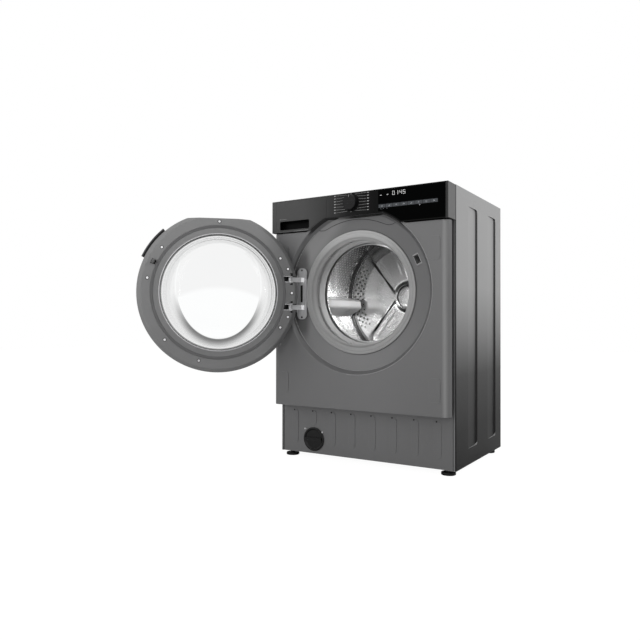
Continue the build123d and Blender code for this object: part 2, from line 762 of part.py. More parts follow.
def drum_spider():
    """Three-armed casting between the drum's back and the shaft."""
    y0, y1 = drum_back_y + drum_steel + 0.3, tub_back_y - 2
    spider = barrel(36, y0, y1, 0, porthole_z)
    arm = along([(-22, 0), (22, 0), (13, drum_radius - 12), (-13, drum_radius - 12)], y0, y1 - 2)
    for i in range(3):
        spider += Pos(0, 0, porthole_z) * Rot(0, i * 120, 0) * arm
    return spider - barrel(shaft_radius, 0, y1 + 5, 0, porthole_z)


def drum_lifters():
    root, tip = drum_radius - 0.3, drum_radius - lifter_height
    lifters = []
    for i in range(3):
        lifter = along([(-34, root - 3), (0, root), (34, root - 3), (15, tip), (-15, tip)],
                       drum_front_y + 24, drum_back_y - 24, [0, 0, 0, 10, 10])
        lifter &= barrel(root, 0, side_depth, 0, 0)
        lifters.append(Pos(0, 0, porthole_z) * Rot(0, 22 + i * 120, 0) * lifter)
    return lifters


def drum_pulley():
    """Wheel on the shaft with a pierced web, held by a bolt and washer."""
    y0, y1 = pulley_y - 1, pulley_y + belt_width + 1
    wheel = ring(pulley_radius - 6, pulley_radius, y0, y1, 0, porthole_z)
    wheel += barrel(pulley_radius - 3, y0 + 4, y0 + 8, 0, porthole_z)
    for i in range(6):
        x, z = on_circle((pulley_radius + hub_radius) / 2, 30 + i * 60)
        wheel -= barrel(pulley_hole, y0, y1, x, z)
    wheel = wheel + barrel(hub_radius, y0, y1, 0, porthole_z)
    wheel -= barrel(shaft_end_radius, 0, y1 + 5, 0, porthole_z)
    washer = barrel(17, y1 + 1, y1 + 3, 0, porthole_z)
    head = Pos(0, 0, porthole_z) * along_face(RegularPolygon(9, 6), y1 + 3, y1 + 9)
    return [wheel, washer + head]


def gasket():
    """Rubber bellows from the front panel's lip to the tub's neck, with a lip at the drum's mouth."""
    y = recess_floor_y
    wall = 3.0
    mouth = lip_radius - 24
    collar = neck_radius + 0.4
    line = [(lip_radius + 0.4, y - 0.6), (mouth, y - 0.6), (mouth, y + 15), (mouth + 16, y + 21),
            (mouth + 16, y + 31), (collar + wall, y + 40), (collar + wall, tub_front_y - 2.5)]
    rubber = strip(line, [4, 4, 3, 4, 2], wall)
    body = Pos(0, 0, porthole_z) * revolve(rubber, Axis.Y)
    lip = turned([(drum_mouth + 5, tub_front_y + 2), (neck_radius - 8, tub_front_y - 15.5),
                  (neck_radius + 2.6, tub_front_y - 15.5), (neck_radius + 2.6, tub_front_y - 12.4),
                  (neck_radius - 6, tub_front_y - 12.4), (drum_mouth + 8, tub_front_y + 3)])
    return body + lip


def gasket_clamp():
    r = neck_radius + 3.6
    band = ring(r, r + 1.5, tub_front_y - 11, tub_front_y - 3, 0, porthole_z)
    screw = block(-12, 12, tub_front_y - 12, tub_front_y - 2, porthole_z - r - 12, porthole_z - r - 0.5)
    return band + screw


def counterweights():
    """A block on top of the tub and a half ring across its front."""
    top = block(-92, 226, tub_front_y + 50, tub_back_y - 20, porthole_z + tub_half(165), top_z - 16)
    top = fillet(top.edges().filter_by(Axis.Z), 12)
    top -= barrel(tub_outer + 0.3, 0, side_depth, 0, porthole_z)
    top -= barrel(seam_radius + 0.5, tub_seam_y - 11, tub_seam_y + 7, 0, porthole_z)
    y0, y1 = tub_front_y - 34, tub_front_y - seat_gap
    sector = along([(0, 0), (-320, -70), (-320, -320), (320, -320), (320, -70)], y0 - 1, y1 + 1)
    front = ring(neck_radius + 22, tub_outer - 2, y0, y1) & sector
    return [top, Pos(0, 0, porthole_z) * front]


def tub_screws():
    screws = []
    for i in range(16):
        x, z = on_circle(seam_radius - 4.5, 11.25 + i * 22.5)
        screws.append(barrel(3.8, tub_seam_y - 9, tub_seam_y - 5, x, z))
    return screws


def suspension_springs():
    """Coils drawn as their outer tubes, hooked between a bracket and the tub's lug."""
    low, high = spring_low_z + 0.3, spring_high_z
    tube = post(spring_radius, low, high, spring_x, spring_y)
    return both_sides(tube - post(spring_radius - spring_wire, low - 1, high + 1, spring_x, spring_y))


def dampers():
    """Friction dampers: a tube, its rod and an eye at each end."""
    dx, dz = damper_high_x - damper_low_x, damper_high_z - damper_low_z
    reach, lean = hypot(dx, dz), degrees(atan2(dx, dz))
    bore, eye = damper_radius - 3, damper_pin * 2
    tube = post(damper_radius, 14, reach * 0.6, 0, 0) - post(bore, 22, reach, 0, 0)
    tube += block(-6, 6, -7.6, 7.6, 2, 16)
    tube = tube + barrel(eye, -7.6, 7.6) - barrel(damper_pin, -20, 20)
    inside = reach * 0.35
    rod = post(5, inside, reach - 6, 0, 0) + post(bore - seat_gap, inside, inside + 20, 0, 0)
    rod = rod + barrel(eye, -7.6, 7.6, 0, reach) - barrel(damper_pin, -20, 20, 0, reach)
    pin = damper_pin - 0.1
    place = Pos(damper_low_x, damper_y, damper_low_z) * Rot(0, lean, 0)
    pieces = []
    for shape in (tube, rod, barrel(pin, -13.9, 13.9), barrel(pin, -13.9, 13.9, 0, reach)):
        pieces += both_sides(place * shape)
    return pieces


def heater():
    """Bent element through the sump's front wall, with its flange and terminals."""
    z, y0 = sump_z + 12, sump_y0
    flange_plate = block(-30, 30, y0 - 4, y0 - seat_gap, sump_z + 2, sump_z + 21)
    plug = block(-25.5, 25.5, y0 - 1, y0 + 4, sump_z + 5.5, sump_z + 18.5)
    line = FilletPolyline((-18, y0 + 3, z), (-18, sump_y1 - 16, z), (18, sump_y1 - 16, z), (18, y0 + 3, z),
                          radius=14)
    rod = sweep(Plane(origin=line @ 0, z_dir=line % 0) * Circle(3.3), path=line)
    body = flange_plate + plug + rod
    for x in (-18, 18):
        body += block(x - 3, x + 3, y0 - 18, y0 - 3, z - 0.5, z + 0.5)
    return body


def sump_hose():
    x, y = sump_out
    top = sump_z - 4
    line = [(x, y, top), (x, y, top - 45), (cap_x, 58, cap_z + 90), (cap_x, 58, cap_z + 46)]
    return pipe(line, [38, 38], 21, 18.2)


# Drain pump and its filter
def drain_pump():
    """Housing with the filter's chamber, and the motor behind it."""
    r, outer = pump_radius, pump_radius + pump_wall
    chamber = ring(r, outer, 12, pump_back, cap_x, cap_z)
    collar = ring(r, cap_radius - 2.5, 3, 14, cap_x, cap_z)
    back = ring(12, outer, pump_back - 3, pump_back, cap_x, cap_z)
    volute = ring(r - 3, r, pump_back - 0.1, pump_back + 30, cap_x, cap_z)
    floor = ring(3.1, r, pump_back + 27, pump_back + 30, cap_x, cap_z)
    inlet = post(hose_radius, cap_z + r, cap_z + 60, cap_x, 58) - barrel(r + 2, 0, 120, cap_x, cap_z)
    body = chamber + collar + back + volute + floor + inlet
    body -= post(15, cap_z, cap_z + 61, cap_x, 58)
    outlet = Pos(cap_x - 34, pump_back + 14, drain_z) * Rot(0, 90, 0) * Cylinder(8, 18)
    body += outlet - barrel(28, 0, 200, cap_x, cap_z)
    body -= Pos(cap_x - 34, pump_back + 14, drain_z) * Rot(0, 90, 0) * Cylinder(5.5, 30)
    foot_pad = block(cap_x - 20, cap_x + 20, 20, 90, foot_height + 1.5, cap_z - 20)
    body += foot_pad - barrel(outer - 1, 0, 200, cap_x, cap_z)
    y = pump_back + 30 + seat_gap
    motor = barrel(24, y, y + 44, cap_x, cap_z)
    motor = fillet(motor.edges(), 3)
    motor += block(cap_x - 20, cap_x + 20, y + 8, y + 36, cap_z - 28, cap_z + 28)
    return [body, motor - barrel(3 + running_gap, y - 1, y + 12, cap_x, cap_z)]


def pump_impeller():
    y0 = pump_back + 8
    wheel = barrel(7, y0, y0 + 16, cap_x, cap_z)
    for i in range(4):
        wheel += Pos(cap_x, 0, cap_z) * Rot(0, i * 90, 0) * block(0, 21, y0, y0 + 16, -1.2, 1.2)
    return wheel + barrel(3, y0 + 10, pump_back + 38, cap_x, cap_z)


def filter_cap():
    """Screw cap in the kick panel, with a bar grip across its dished face."""
    y, r = kick_y, cap_radius
    body = turned([(0, y - 1), (r - 8, y - 1), (r - 5, y - 4), (r, y - 3.5), (r, y - 0.3), (r - 4, y - 0.3),
                   (r - 4, y + 1.7), (0, y + 1.7)], [0, 1, 1, 1, 0.5, 0, 0, 0], cap_x, cap_z)
    return body + along(rect(cap_x - r + 7, cap_x + r - 7, cap_z - 5, cap_z + 5), y - 7, y, 2)


def filter_insert():
    """Seal plug and lint cage behind the cap."""
    plug = barrel(29, 3, 12, cap_x, cap_z)
    cage = ring(22, 24, 11, 80, cap_x, cap_z)
    for i in range(6):
        cage -= Pos(cap_x, 0, cap_z) * Rot(0, i * 60, 0) * block(10, 40, 18, 74, -8, 8)
    return plug + cage


# Door, hinge and latch, drawn closed and then swung open
def door_hollow(skin):
    """The frame's outer form, or the room inside it under a skin."""
    r, f, b = door_radius - skin, door_front_y + skin, door_face_y - skin
    inner = glass_radius - 4 + skin
    form = turned([(inner, f + 14 - skin / 2), (inner + 13, f), (r - 11, f), (r, f + 18), (r, door_rim_y),
                   (r - 12, b), (inner, b)], [0, 3, 12 - skin, 3, 3 - skin, 4, 0])
    return form & block(-half, half, -120, 40, 0, porthole_z + door_flat - skin)


def door_shell():
    return door_hollow(0) - door_hollow(door_wall)


def handle_shape():
    a0, a1 = radians(25), radians(49)
    grip = Pos(0, 0, porthole_z) * revolve(outline(
        [(door_radius - 9, door_front_y + 3), (door_radius + 3, door_front_y + 5),
         (door_radius + 10, door_front_y + 12), (door_radius + 10, door_front_y + 21),
         (door_radius + 6, door_front_y + 22), (door_radius + 3, door_front_y + 18),
         (door_radius - 9, door_front_y + 17)], [0, 3, 3, 1.5, 1.5, 2, 0]), Axis.Y)
    reach = 400
    wedge = along([(0, porthole_z), (reach * cos(a0), porthole_z + reach * sin(a0)),
                   (reach * cos(a1), porthole_z + reach * sin(a1))], -120, 0)
    return grip & wedge


def slot_cuts():
    """Slots that let the hinge's arms swing through the back and the rim of the door."""
    cuts = []
    for side in (-1, 1):
        z = porthole_z + side * arm_offset
        half_slot = arm_width / 2 + 2
        cuts.append(block(-half, hinge_x + 25, door_front_y + door_wall, 0, z - half_slot, z + half_slot))
        cuts.append(block(-half, hinge_x - 11, door_front_y - 9, 0, z - half_slot, z + half_slot))
        for edge in (-1, 1):
            zw = z + edge * (half_slot + 4.8)
            cuts.append(block(hinge_x - 4.5, hinge_x + 4.5, door_face_y - 8, 0, zw - 4, zw + 4))
    return cuts


def door_outer_frame():
    shell = door_shell() & block(-half, half, -120, door_rim_y, 0, top_z)
    shell += ring(glass_radius - 4, glass_radius - 1.5, door_front_y + 13, flange_y - glass_wall - seat_gap,
                  0, porthole_z)
    shell += handle_shape() - door_hollow(0)
    for cut in slot_cuts():
        shell -= cut
    return opened(shell)


def door_inner_frame():
    shell = door_shell() & block(-half, half, door_rim_y, 80, 0, top_z)
    lip = turned([(glass_radius - 0.5, door_face_y), (glass_radius + 3, door_face_y - door_wall - 1),
                  (glass_radius + 3, flange_y + 0.2), (glass_radius - 0.5, flange_y + 0.2)])
    inner_wall = ring(0, glass_radius - 0.5, door_rim_y, door_face_y + 1, 0, porthole_z)
    shell = shell - inner_wall + lip
    r = glass_radius + 24.5
    shell -= turned([(r - 4, door_face_y + 1), (r + 4, door_face_y + 1), (r + 2, door_face_y - 0.9),
                     (r - 2, door_face_y - 0.9)])
    for cut in slot_cuts():
        shell -= cut
    for inset, angle in screw_spots:
        x, z = on_circle(door_radius - inset, angle)
        shell -= barrel(2.1, door_face_y - 5, door_face_y + 1, x, z)
    x, z = on_circle(latch_radius, latch_angle)
    place = Pos(x, 0, z) * Rot(0, -latch_angle, 0)
    shell -= place * block(-8, 8, door_face_y - 5, 0, -8, 8)
    y = door_face_y - 7
    cradle = block(-9, 9, y - 8, y + 5, -12.5, 12.5) - block(-7, 7, y - 6, y + 6, -6.6, 6.6)
    return opened(shell + place * (cradle - Pos(0, y, 0) * Cylinder(latch_pin + running_gap, 16.6)))


def door_glass():
    """Thick bowl: flange, steep side wall and a flat bottom."""
    y, deep = flange_y, flange_y + glass_depth
    r, t = glass_radius, glass_wall
    outer = [(r + 9, y), (r - 1, y), (r - 9.5, y + 12), (r - 19.5, y + 22), (r - 25.5, y + 40),
             (r - 33.5, y + 76), (r - 65.5, deep), (0, deep + 3)]
    inner = [(0, deep + 3 - t), (r - 67.5, deep - t), (r - 38.5, y + 72), (r - 30.5, y + 36),
             (r - 23.5, y + 17), (r - 12.5, y + 5), (r - 6.5, y - t), (r + 9, y - t)]
    return opened(turned(outer + inner, [0.5, 1, 6, 8, 14, 24, 60, 0, 0, 60, 24, 14, 8, 6, 4, 0.5]))


def door_screws():
    screws = []
    for inset, angle in screw_spots:
        x, z = on_circle(door_radius - inset, angle)
        head = barrel(3.6, door_face_y, door_face_y + 1.6, x, z)
        screws.append(opened(head + barrel(2, door_face_y - 6, door_face_y + 0.1, x, z)))
    return screws


def hinge_bracket():
    """Plate on its seat in the recess, with two arms that reach forward to the pin."""
    y = hinge_seat_y - hinge_plate_steel
    plate = hinge_outline(0, y, hinge_seat_y)
    arm_line = [(hinge_plate_x - 13, y + 0.5), (hinge_plate_x + 12, y + 0.5), (hinge_plate_x + 10, y - 2),
                (hinge_plate_x + 1, y - 5.5), (hinge_x + 7, hinge_y + 2), (hinge_x - 7, hinge_y),
                (hinge_x - 1, hinge_y + 14), (hinge_plate_x - 11, y - 7)]
    for side in (-1, 1):
        z = porthole_z + side * (hinge_plate_height / 2 - hinge_screw_inset)
        plate -= barrel(2.3, y - 1, 0, hinge_plate_x, z)
        z0 = porthole_z + side * arm_offset - arm_width / 2
        plate += upright(arm_line, z0, z0 + arm_width) + post(7, z0, z0 + arm_width, hinge_x, hinge_y)
    reach = hinge_plate_height / 2 - 22
    for x in (hinge_plate_x - hinge_plate_width / 2, hinge_plate_x + hinge_plate_width / 2 - 2.5):
        plate += block(x, x + 2.5, y - 3.4, y + 0.5, porthole_z - reach, porthole_z + reach)
    return plate - post(hinge_pin_radius, 0, top_z, hinge_x, hinge_y)


def hinge_pin():
    return post(hinge_pin_radius, porthole_z - leaf_reach - 2, porthole_z + leaf_reach + 2, hinge_x, hinge_y)


def door_hinge_leaf():
    """Three knuckles on the pin and the plate behind the door's inner frame that joins them."""
    arm_side = arm_width / 2 + 0.5
    y = door_face_y - door_wall - 0.3
    low, high = porthole_z - leaf_reach, porthole_z + leaf_reach
    leaf = block(hinge_x + 26, hinge_x + 33, y - 3, y, low, high)
    for z0, z1 in ((low, porthole_z - arm_offset - arm_side),
                   (porthole_z - arm_offset + arm_side, porthole_z + arm_offset - arm_side),
                   (porthole_z + arm_offset + arm_side, high)):
        leaf += post(7.5, z0, z1, hinge_x, hinge_y)
        leaf += block(hinge_x - 4, hinge_x + 4, hinge_y, y - 4, z0, z1)
        leaf += block(hinge_x - 4, hinge_x + 27, y - 7, y - 3.5, z0, z1)
        leaf += block(hinge_x + 23, hinge_x + 27, y - 7, y, z0, z1)
    leaf -= post(hinge_pin_radius + running_gap, 0, top_z, hinge_x, hinge_y)
    return opened(leaf)


def door_lock():
    """Lock behind the recess floor; its face fills the panel's slot round the latch's opening."""
    x, z = on_circle(latch_radius, latch_angle)
    front, back = recess_floor_y - 7, recess_floor_y - 1
    body = block(-8.7, 8.7, front, back + 1, -16.7, 16.7) + block(-12, 12, back, back + 42, -20, 20)
    body -= block(-7.5, 7, front - 1, back + 36, -13, 13)
    return Pos(x, 0, z) * Rot(0, -latch_angle, 0) * body


def latch_hook():
    """Sprung hook on the door's free side, on its own pin."""
    x, z = on_circle(latch_radius, latch_angle)
    y = door_face_y
    hook = block(-2.5, 2.5, y - 7, y + 17, -6, 6) + Pos(0, y - 7, 0) * Cylinder(4, 12)
    hook += upright([(-2.5, y + 10), (5, y + 11), (2.5, y + 20), (-2.5, y + 20)], -6, 6)
    hook += Pos(0, y - 7, 0) * Cylinder(latch_pin, 16.4)
    return opened(Pos(x, 0, z) * Rot(0, -latch_angle, 0) * hook)


nodes = {
    "side_panel_right": side_panel_right(),
    "side_panel_left": mirrored(side_panel_right()),
    "top_panel": top_panel(),
    "rear_panel": rear_panel(),
    "rear_cover": rear_cover(),
    "base_tray": base_tray(),
    "frame_rails": frame_rails(),
    "front_panel": front_panel(),
    "kick_panel": kick_panel(),
    "control_fascia": control_fascia(),
    "display_window": display_window(),
    "program_knob": program_knob(),
    "ui_board": ui_board(),
    "power_module": power_module(),
    "drawer_front": drawer_front(),
    "drawer_tray": drawer_tray(),
    "siphon_cap": siphon_cap(),
    "dispenser_housing": dispenser_housing(),
    "inlet_valve": inlet_valve(),
    "water_hoses": water_hoses(),
    "drain_spigot": drain_spigot(),
    "mains_inlet": mains_inlet(),
    "tub_front": tub_front(),
    "tub_rear": tub_rear(),
    "tub_screws": tub_screws(),
    "gasket": gasket(),
    "gasket_clamp": gasket_clamp(),
    "counterweights": counterweights(),
    "suspension_springs": suspension_springs(),
    "dampers": dampers(),
    "heater": heater(),
    "sump_hose": sump_hose(),
    "drain_pump": drain_pump(),
    "pump_impeller": pump_impeller(),
    "filter_cap": filter_cap(),
    "filter_insert": filter_insert(),
    "motor_housing": motor_housing(),
    "motor_rotor": motor_rotor(),
    "drive_belt": drive_belt(),
    "drum_bearings": drum_bearings(),
    "shaft_seal": shaft_seal(),
    "drum_shaft": drum_shaft(),
    "drum_shell": drum_shell(),
    "drum_rear": drum_rear(),
    "drum_spider": drum_spider(),
    "drum_lifters": drum_lifters(),
    "drum_pulley": drum_pulley(),
    "door_outer_frame": door_outer_frame(),
    "door_inner_frame": door_inner_frame(),
    "door_glass": door_glass(),
    "door_screws": door_screws(),
    "hinge_bracket": hinge_bracket(),
    "hinge_pin": hinge_pin(),
    "door_hinge_leaf": door_hinge_leaf(),
    "door_lock": door_lock(),
    "latch_hook": latch_hook(),
}
for (x, y), name in zip(foot_places(), ("front_left", "front_right", "rear_left", "rear_right")):
    nodes["foot_" + name] = foot(x, y)

os.makedirs("parts", exist_ok=True)
for name, shape in nodes.items():
    if isinstance(shape, list):
        shape = Compound(children=[solid for piece in shape for solid in piece.solids()])
    export_step(shape, f"parts/{name}.step")
print(len(nodes), "nodes")
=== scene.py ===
import json
from math import atan2, cos, exp, hypot, pi, radians, sin, tan, tau

import bmesh
import bpy
from mathutils import Matrix, Vector

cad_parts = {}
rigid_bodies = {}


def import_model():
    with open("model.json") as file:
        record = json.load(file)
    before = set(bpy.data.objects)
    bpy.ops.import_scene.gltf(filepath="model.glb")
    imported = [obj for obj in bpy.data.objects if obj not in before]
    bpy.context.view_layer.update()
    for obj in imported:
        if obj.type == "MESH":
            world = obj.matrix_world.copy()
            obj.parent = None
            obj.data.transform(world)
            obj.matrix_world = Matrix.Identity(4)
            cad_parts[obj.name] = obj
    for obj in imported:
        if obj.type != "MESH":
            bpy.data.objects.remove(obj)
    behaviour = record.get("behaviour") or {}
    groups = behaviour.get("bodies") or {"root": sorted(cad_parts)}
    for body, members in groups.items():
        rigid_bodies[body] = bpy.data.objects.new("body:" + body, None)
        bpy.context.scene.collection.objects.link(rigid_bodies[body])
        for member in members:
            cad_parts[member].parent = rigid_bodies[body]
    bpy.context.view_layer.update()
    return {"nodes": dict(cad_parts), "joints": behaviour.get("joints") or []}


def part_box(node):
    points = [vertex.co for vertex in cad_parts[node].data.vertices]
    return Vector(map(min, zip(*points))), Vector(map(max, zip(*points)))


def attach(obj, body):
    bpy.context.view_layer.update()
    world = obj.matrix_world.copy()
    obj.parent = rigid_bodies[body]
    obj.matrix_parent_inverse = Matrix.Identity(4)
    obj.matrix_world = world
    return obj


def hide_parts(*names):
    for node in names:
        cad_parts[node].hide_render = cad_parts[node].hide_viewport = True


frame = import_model()
nodes = frame["nodes"]
joints = {joint["name"]: joint for joint in frame["joints"]}
axisHeight = joints["drum_spin"]["pos_m"][2]
hingeLine = Vector((*joints["door_swing"]["pos_m"][:2], 0))
openTurn = radians(-joints["door_swing"]["range_deg"][1])
print("frame loaded:", len(nodes), "nodes")


def joined(operation):
    return lambda left, right: left.calc(operation, left, right)


class Wire:
    # one output socket, with the operators that the finishes use
    def __init__(self, look, socket):
        self.look = look
        self.socket = socket

    def calc(self, operation, *values):
        return self.look.add("Math", {"operation": operation}, dict(enumerate(values)))

    def __rsub__(self, other):
        return self.calc("SUBTRACT", other, self)

    def __abs__(self):
        return self.calc("ABSOLUTE", self)

    __add__ = __radd__ = joined("ADD")
    __sub__ = joined("SUBTRACT")
    __mul__ = __rmul__ = joined("MULTIPLY")
    __truediv__ = joined("DIVIDE")
    __gt__ = joined("GREATER_THAN")
    __lt__ = joined("LESS_THAN")
    most = joined("MAXIMUM")


def tint(colour):
    if isinstance(colour, (int, float)):
        colour = (colour, colour, colour)
    return (*colour[:3], 1.0)


class Look:
    # one material with its node tree
    def __init__(self, name, tree=None):
        if tree is None:
            self.material = bpy.data.materials.new(name)
            self.material.use_nodes = True
            tree = self.material.node_tree
        self.tree = tree
        self.tree.nodes.clear()
        self.place = self.add("TexCoord", {}, {}, "Object")

    def add(self, kind, settings, values, output=0):
        node = self.tree.nodes.new("ShaderNode" + kind)
        for key, value in settings.items():
            if key == "stops":
                ramp = node.color_ramp
                while len(ramp.elements) < len(value):
                    ramp.elements.new(0.5)
                for element, (place, colour) in zip(ramp.elements, value):
                    element.position = place
                    element.color = tint(colour)
            else:
                setattr(node, key, value)
        for key, value in values.items():
            socket = node.inputs[key]
            if isinstance(value, Wire):
                self.tree.links.new(value.socket, socket)
            elif socket.type == "RGBA":
                socket.default_value = tint(value)
            else:
                socket.default_value = value
        return Wire(self, node.outputs[output]) if node.outputs else None

    def noise(self, scale, detail=3.0, stretch=None, roughness=0.5):
        place = self.place
        if stretch:
            place = self.add("Mapping", {}, {"Vector": place, "Scale": stretch})
        return self.add("TexNoise", {}, {"Vector": place, "Scale": scale, "Detail": detail,
                                         "Roughness": roughness})

    def mix(self, factor, low, high):
        return self.add("Mix", {"data_type": "RGBA"}, {0: factor, 6: low, 7: high}, 2)

    def over(self, shade, *layers):
        # each layer is how much, and which colour
        for factor, colour in layers:
            shade = self.mix(factor, shade, colour)
        return shade

    def split(self, vector):
        node = self.add("SeparateXYZ", {}, {0: vector}).socket.node
        return [Wire(self, output) for output in node.outputs]

    def axes(self):
        return self.split(self.place)

    def facing(self):
        return self.split(self.add("NewGeometry", {}, {}, "Normal"))

    def apart(self, across, upward):
        # distance from the line where both are nought
        squares = across * across + upward * upward
        return squares.calc("SQRT", squares)

    def ramp(self, value, stops):
        return self.add("ValToRGB", {"stops": stops}, {0: value})

    def band(self, value, low, high):
        return self.add("MapRange", {"interpolation_type": "SMOOTHSTEP"}, {0: value, 1: low, 2: high})

    def worn(self, reach):
        # bright along convex edges, from a rounded normal against the true one: partly wear, partly a painted
        # highlight where rounded edges catch light
        rounded = self.add("Bevel", {"samples": edgeWearAndSheen["samples"]}, {"Radius": reach})
        true = self.add("NewGeometry", {}, {}, "Normal")
        same = self.add("VectorMath", {"operation": "DOT_PRODUCT"}, {0: rounded, 1: true}, "Value")
        return self.band(1 - same, edgeWearAndSheen["start"], edgeWearAndSheen["full"])

    def close(self, colour, roughness, height=None, depth=0.001, **fixed):
        values = {"Base Color": colour, "Roughness": roughness}
        if height is not None:
            values["Normal"] = self.add("Bump", {}, {"Height": height, "Distance": depth, "Strength": 1.0})
        for key, value in fixed.items():
            values[key.replace("_", " ")] = value
        self.add("OutputMaterial", {}, {"Surface": self.add("BsdfPrincipled", {}, values)})
        return self.material


def times(colour, gain, lift=0.0):
    return [min(1.0, part * gain + lift) for part in colour]


edgeWearAndSheen = {"samples": 4, "start": 0.02, "full": 0.3}

# Painted steel: side walls, front and kick panel
paintFacts = {
    "cloudScale": 3.0, "flakeScale": 1400.0, "peelScale": 260.0, "flakeShare": 0.16, "flakeGain": 1.7,
    "wear": 0.0012, "wearShare": 0.4, "peelDepth": 0.00006
}


def paintedSteel(name, colour, gloss=0.42, metallic=0.3, shape=None, edgeGain=2.2, specular=0.5):
    s = paintFacts
    look = Look(name)
    cloud = look.noise(s["cloudScale"], 4.0)
    flake = look.noise(s["flakeScale"], 1.0)
    peel = look.noise(s["peelScale"], 2.0)
    shade = look.mix(cloud, times(colour, 0.94), times(colour, 1.06))
    shade = look.mix(flake * s["flakeShare"], shade, times(colour, s["flakeGain"]))
    if shape:
        shade = shape(look, shade)
    shade = look.mix(look.worn(s["wear"]) * s["wearShare"], shade, times(colour, edgeGain))
    rough = gloss + (cloud - 0.5) * 0.12 + (flake - 0.5) * 0.08
    return look.close(shade, rough, peel * 0.5 + flake * 0.5, s["peelDepth"], Metallic=metallic,
                      Specular_IOR_Level=specular)


sideFacts = {
    "top": 0.82, "stepShade": 0.012, "underShade": 0.01, "lipTop": 0.3, "lipShade": 0.55,
    "stops": [(0.0, 0.004), (0.15, 0.009), (0.34, 0.055), (0.5, 0.225), (0.66, 0.375), (0.85, 0.4), (1.0, 0.4)]
}


def sidePaintedLight(look, shade):
    # painted light and shade: the outer walls darken downwards, the pressings' steps facing back and the faces
    # turned down are painted dark, and faces turned up low on the walls get a painted highlight
    s = sideFacts
    height = look.axes()[2]
    aside, ahead, upward = look.facing()
    return look.over(
        shade, (abs(aside), look.ramp(height / s["top"], s["stops"])),
        (look.band(ahead, -0.2, -0.5) * (aside > 0.3) * 0.9, s["stepShade"]),
        (look.band(upward, -0.3, -0.7) * 0.9, s["underShade"]),
        (look.band(upward, 0.3, 0.7) * (height < s["lipTop"]), s["lipShade"]))


frontFacts = {
    "rollStart": 0.27, "rollShade": 0.3, "rollStops": [(0.0, 0.0), (0.06, 0.0), (0.36, 1.0), (0.46, 1.0),
    (0.8, 0.0), (1.0, 0.0)], "dish": 0.236, "dishEdge": 0.24, "dishTop": (0.2415, 0.2425), "dishRim": 0.2475,
    "topFade": (0.7, 0.718), "notch": 0.7475, "notchShade": 0.004, "rightFade": (0.0, 0.28), "rightShade": 0.07,
    "cornerFade": (0.235, 0.29), "cornerShade": 0.27, "hingeFade": (-0.165, -0.19), "hingeHalf": (0.165, 0.11),
    "hingeShade": 0.03, "leftShade": 0.02, "padFace": -0.0492, "padShade": 0.025
}


def frontPaintedLight(look, shade):
    # painted light and shade: a painted highlight on the rolled right edge and the dish's upper left; painted
    # shade on the left edge, the pads' edges, the right side and the hinge side; painted shadow on the dish's
    # top under the notch
    s = frontFacts
    across, depth, height = look.axes()
    aside, _, upward = look.facing()
    rise = height - axisHeight
    reach = look.apart(across, rise)
    under = look.band(reach, *s["dishTop"]) * (reach < s["dishRim"]) * look.band(height, *s["topFade"])
    corner = look.band(rise - across, *s["cornerFade"]) * (reach < s["dish"])
    hingeSide = look.band(across, *s["hingeFade"]) * look.band(abs(rise), *s["hingeHalf"])
    leftEdge = (across < -s["rollStart"]) * look.band(aside, -0.25, -0.7)
    padSide = look.band(aside, 0.2, 0.6).most(look.band(upward, -0.2, -0.6))
    return look.over(
        shade, ((across > s["rollStart"]) * look.ramp(aside, s["rollStops"]), s["rollShade"]),
        (under * 0.9, s["notchShade"]), ((height > s["notch"]) * (reach < s["dishRim"]), s["notchShade"]),
        (look.band(across, *s["rightFade"]) * 0.26, s["rightShade"]), (corner * 0.7, s["cornerShade"]),
        (hingeSide * (reach < s["dishEdge"]) * 0.75, s["hingeShade"]), (leftEdge * 0.8, s["leftShade"]),
        (padSide * (depth < s["padFace"]) * 0.8, s["padShade"]))


# Moulded plastic: knob, door, drawer, tub and small parts
plasticFacts = {"cloudScale": 8.0, "wear": 0.0008, "wearShare": 0.5}


def plastic(name, colour, gloss=0.4, grain=0.00003, scale=900.0, edgeGain=1.6, specular=0.5, shape=None):
    s = plasticFacts
    look = Look(name)
    cloud = look.noise(s["cloudScale"], 4.0)
    pit = look.noise(scale, 2.0)
    shade = look.mix(cloud, times(colour, 0.92), times(colour, 1.08))
    if shape:
        shade = shape(look, shade)
    shade = look.mix(look.worn(s["wear"]) * s["wearShare"], shade, times(colour, edgeGain, 0.01))
    rough = gloss + (cloud - 0.5) * 0.16 + (pit - 0.5) * 0.1
    return look.close(shade, rough, pit, grain, Specular_IOR_Level=specular)


doorFacts = {
    "topFade": (0.02, 0.22), "topShade": 0.31, "lowFade": (0.0, -0.22), "lowShade": 0.17,
    "hingeFade": (0.11, 0.03), "hingeShade": 0.12
}


def doorPaintedLight(look, shade):
    # painted light and shade: paler towards the top, darker towards the bottom and the hinge
    s = doorFacts
    across, depth, height = look.axes()
    rise = height - axisHeight
    gap = look.apart(across - hingeLine.x, depth - hingeLine.y)
    return look.over(
        shade, (look.band(rise, *s["topFade"]) * 0.4, s["topShade"]),
        (look.band(rise, *s["lowFade"]) * 0.35, s["lowShade"]),
        (look.band(gap, *s["hingeFade"]) * 0.55, s["hingeShade"]))


fasciaFacts = {
    "left": 0.3, "width": 0.6, "sunk": (-0.0547, -0.0528), "half": 0.2962, "deepShade": 0.0008, "display": 0.07,
    "wear": 0.001, "greyWear": 0.12, "blackWear": 0.02, "stops": [(0.0, 0.2), (0.006, 0.118), (0.2, 0.108),
    (0.36, 0.056), (0.47, 0.014), (0.62, 0.002), (0.979, 0.002), (0.984, 0.05), (0.992, 0.05), (0.9955, 0.28)]
}


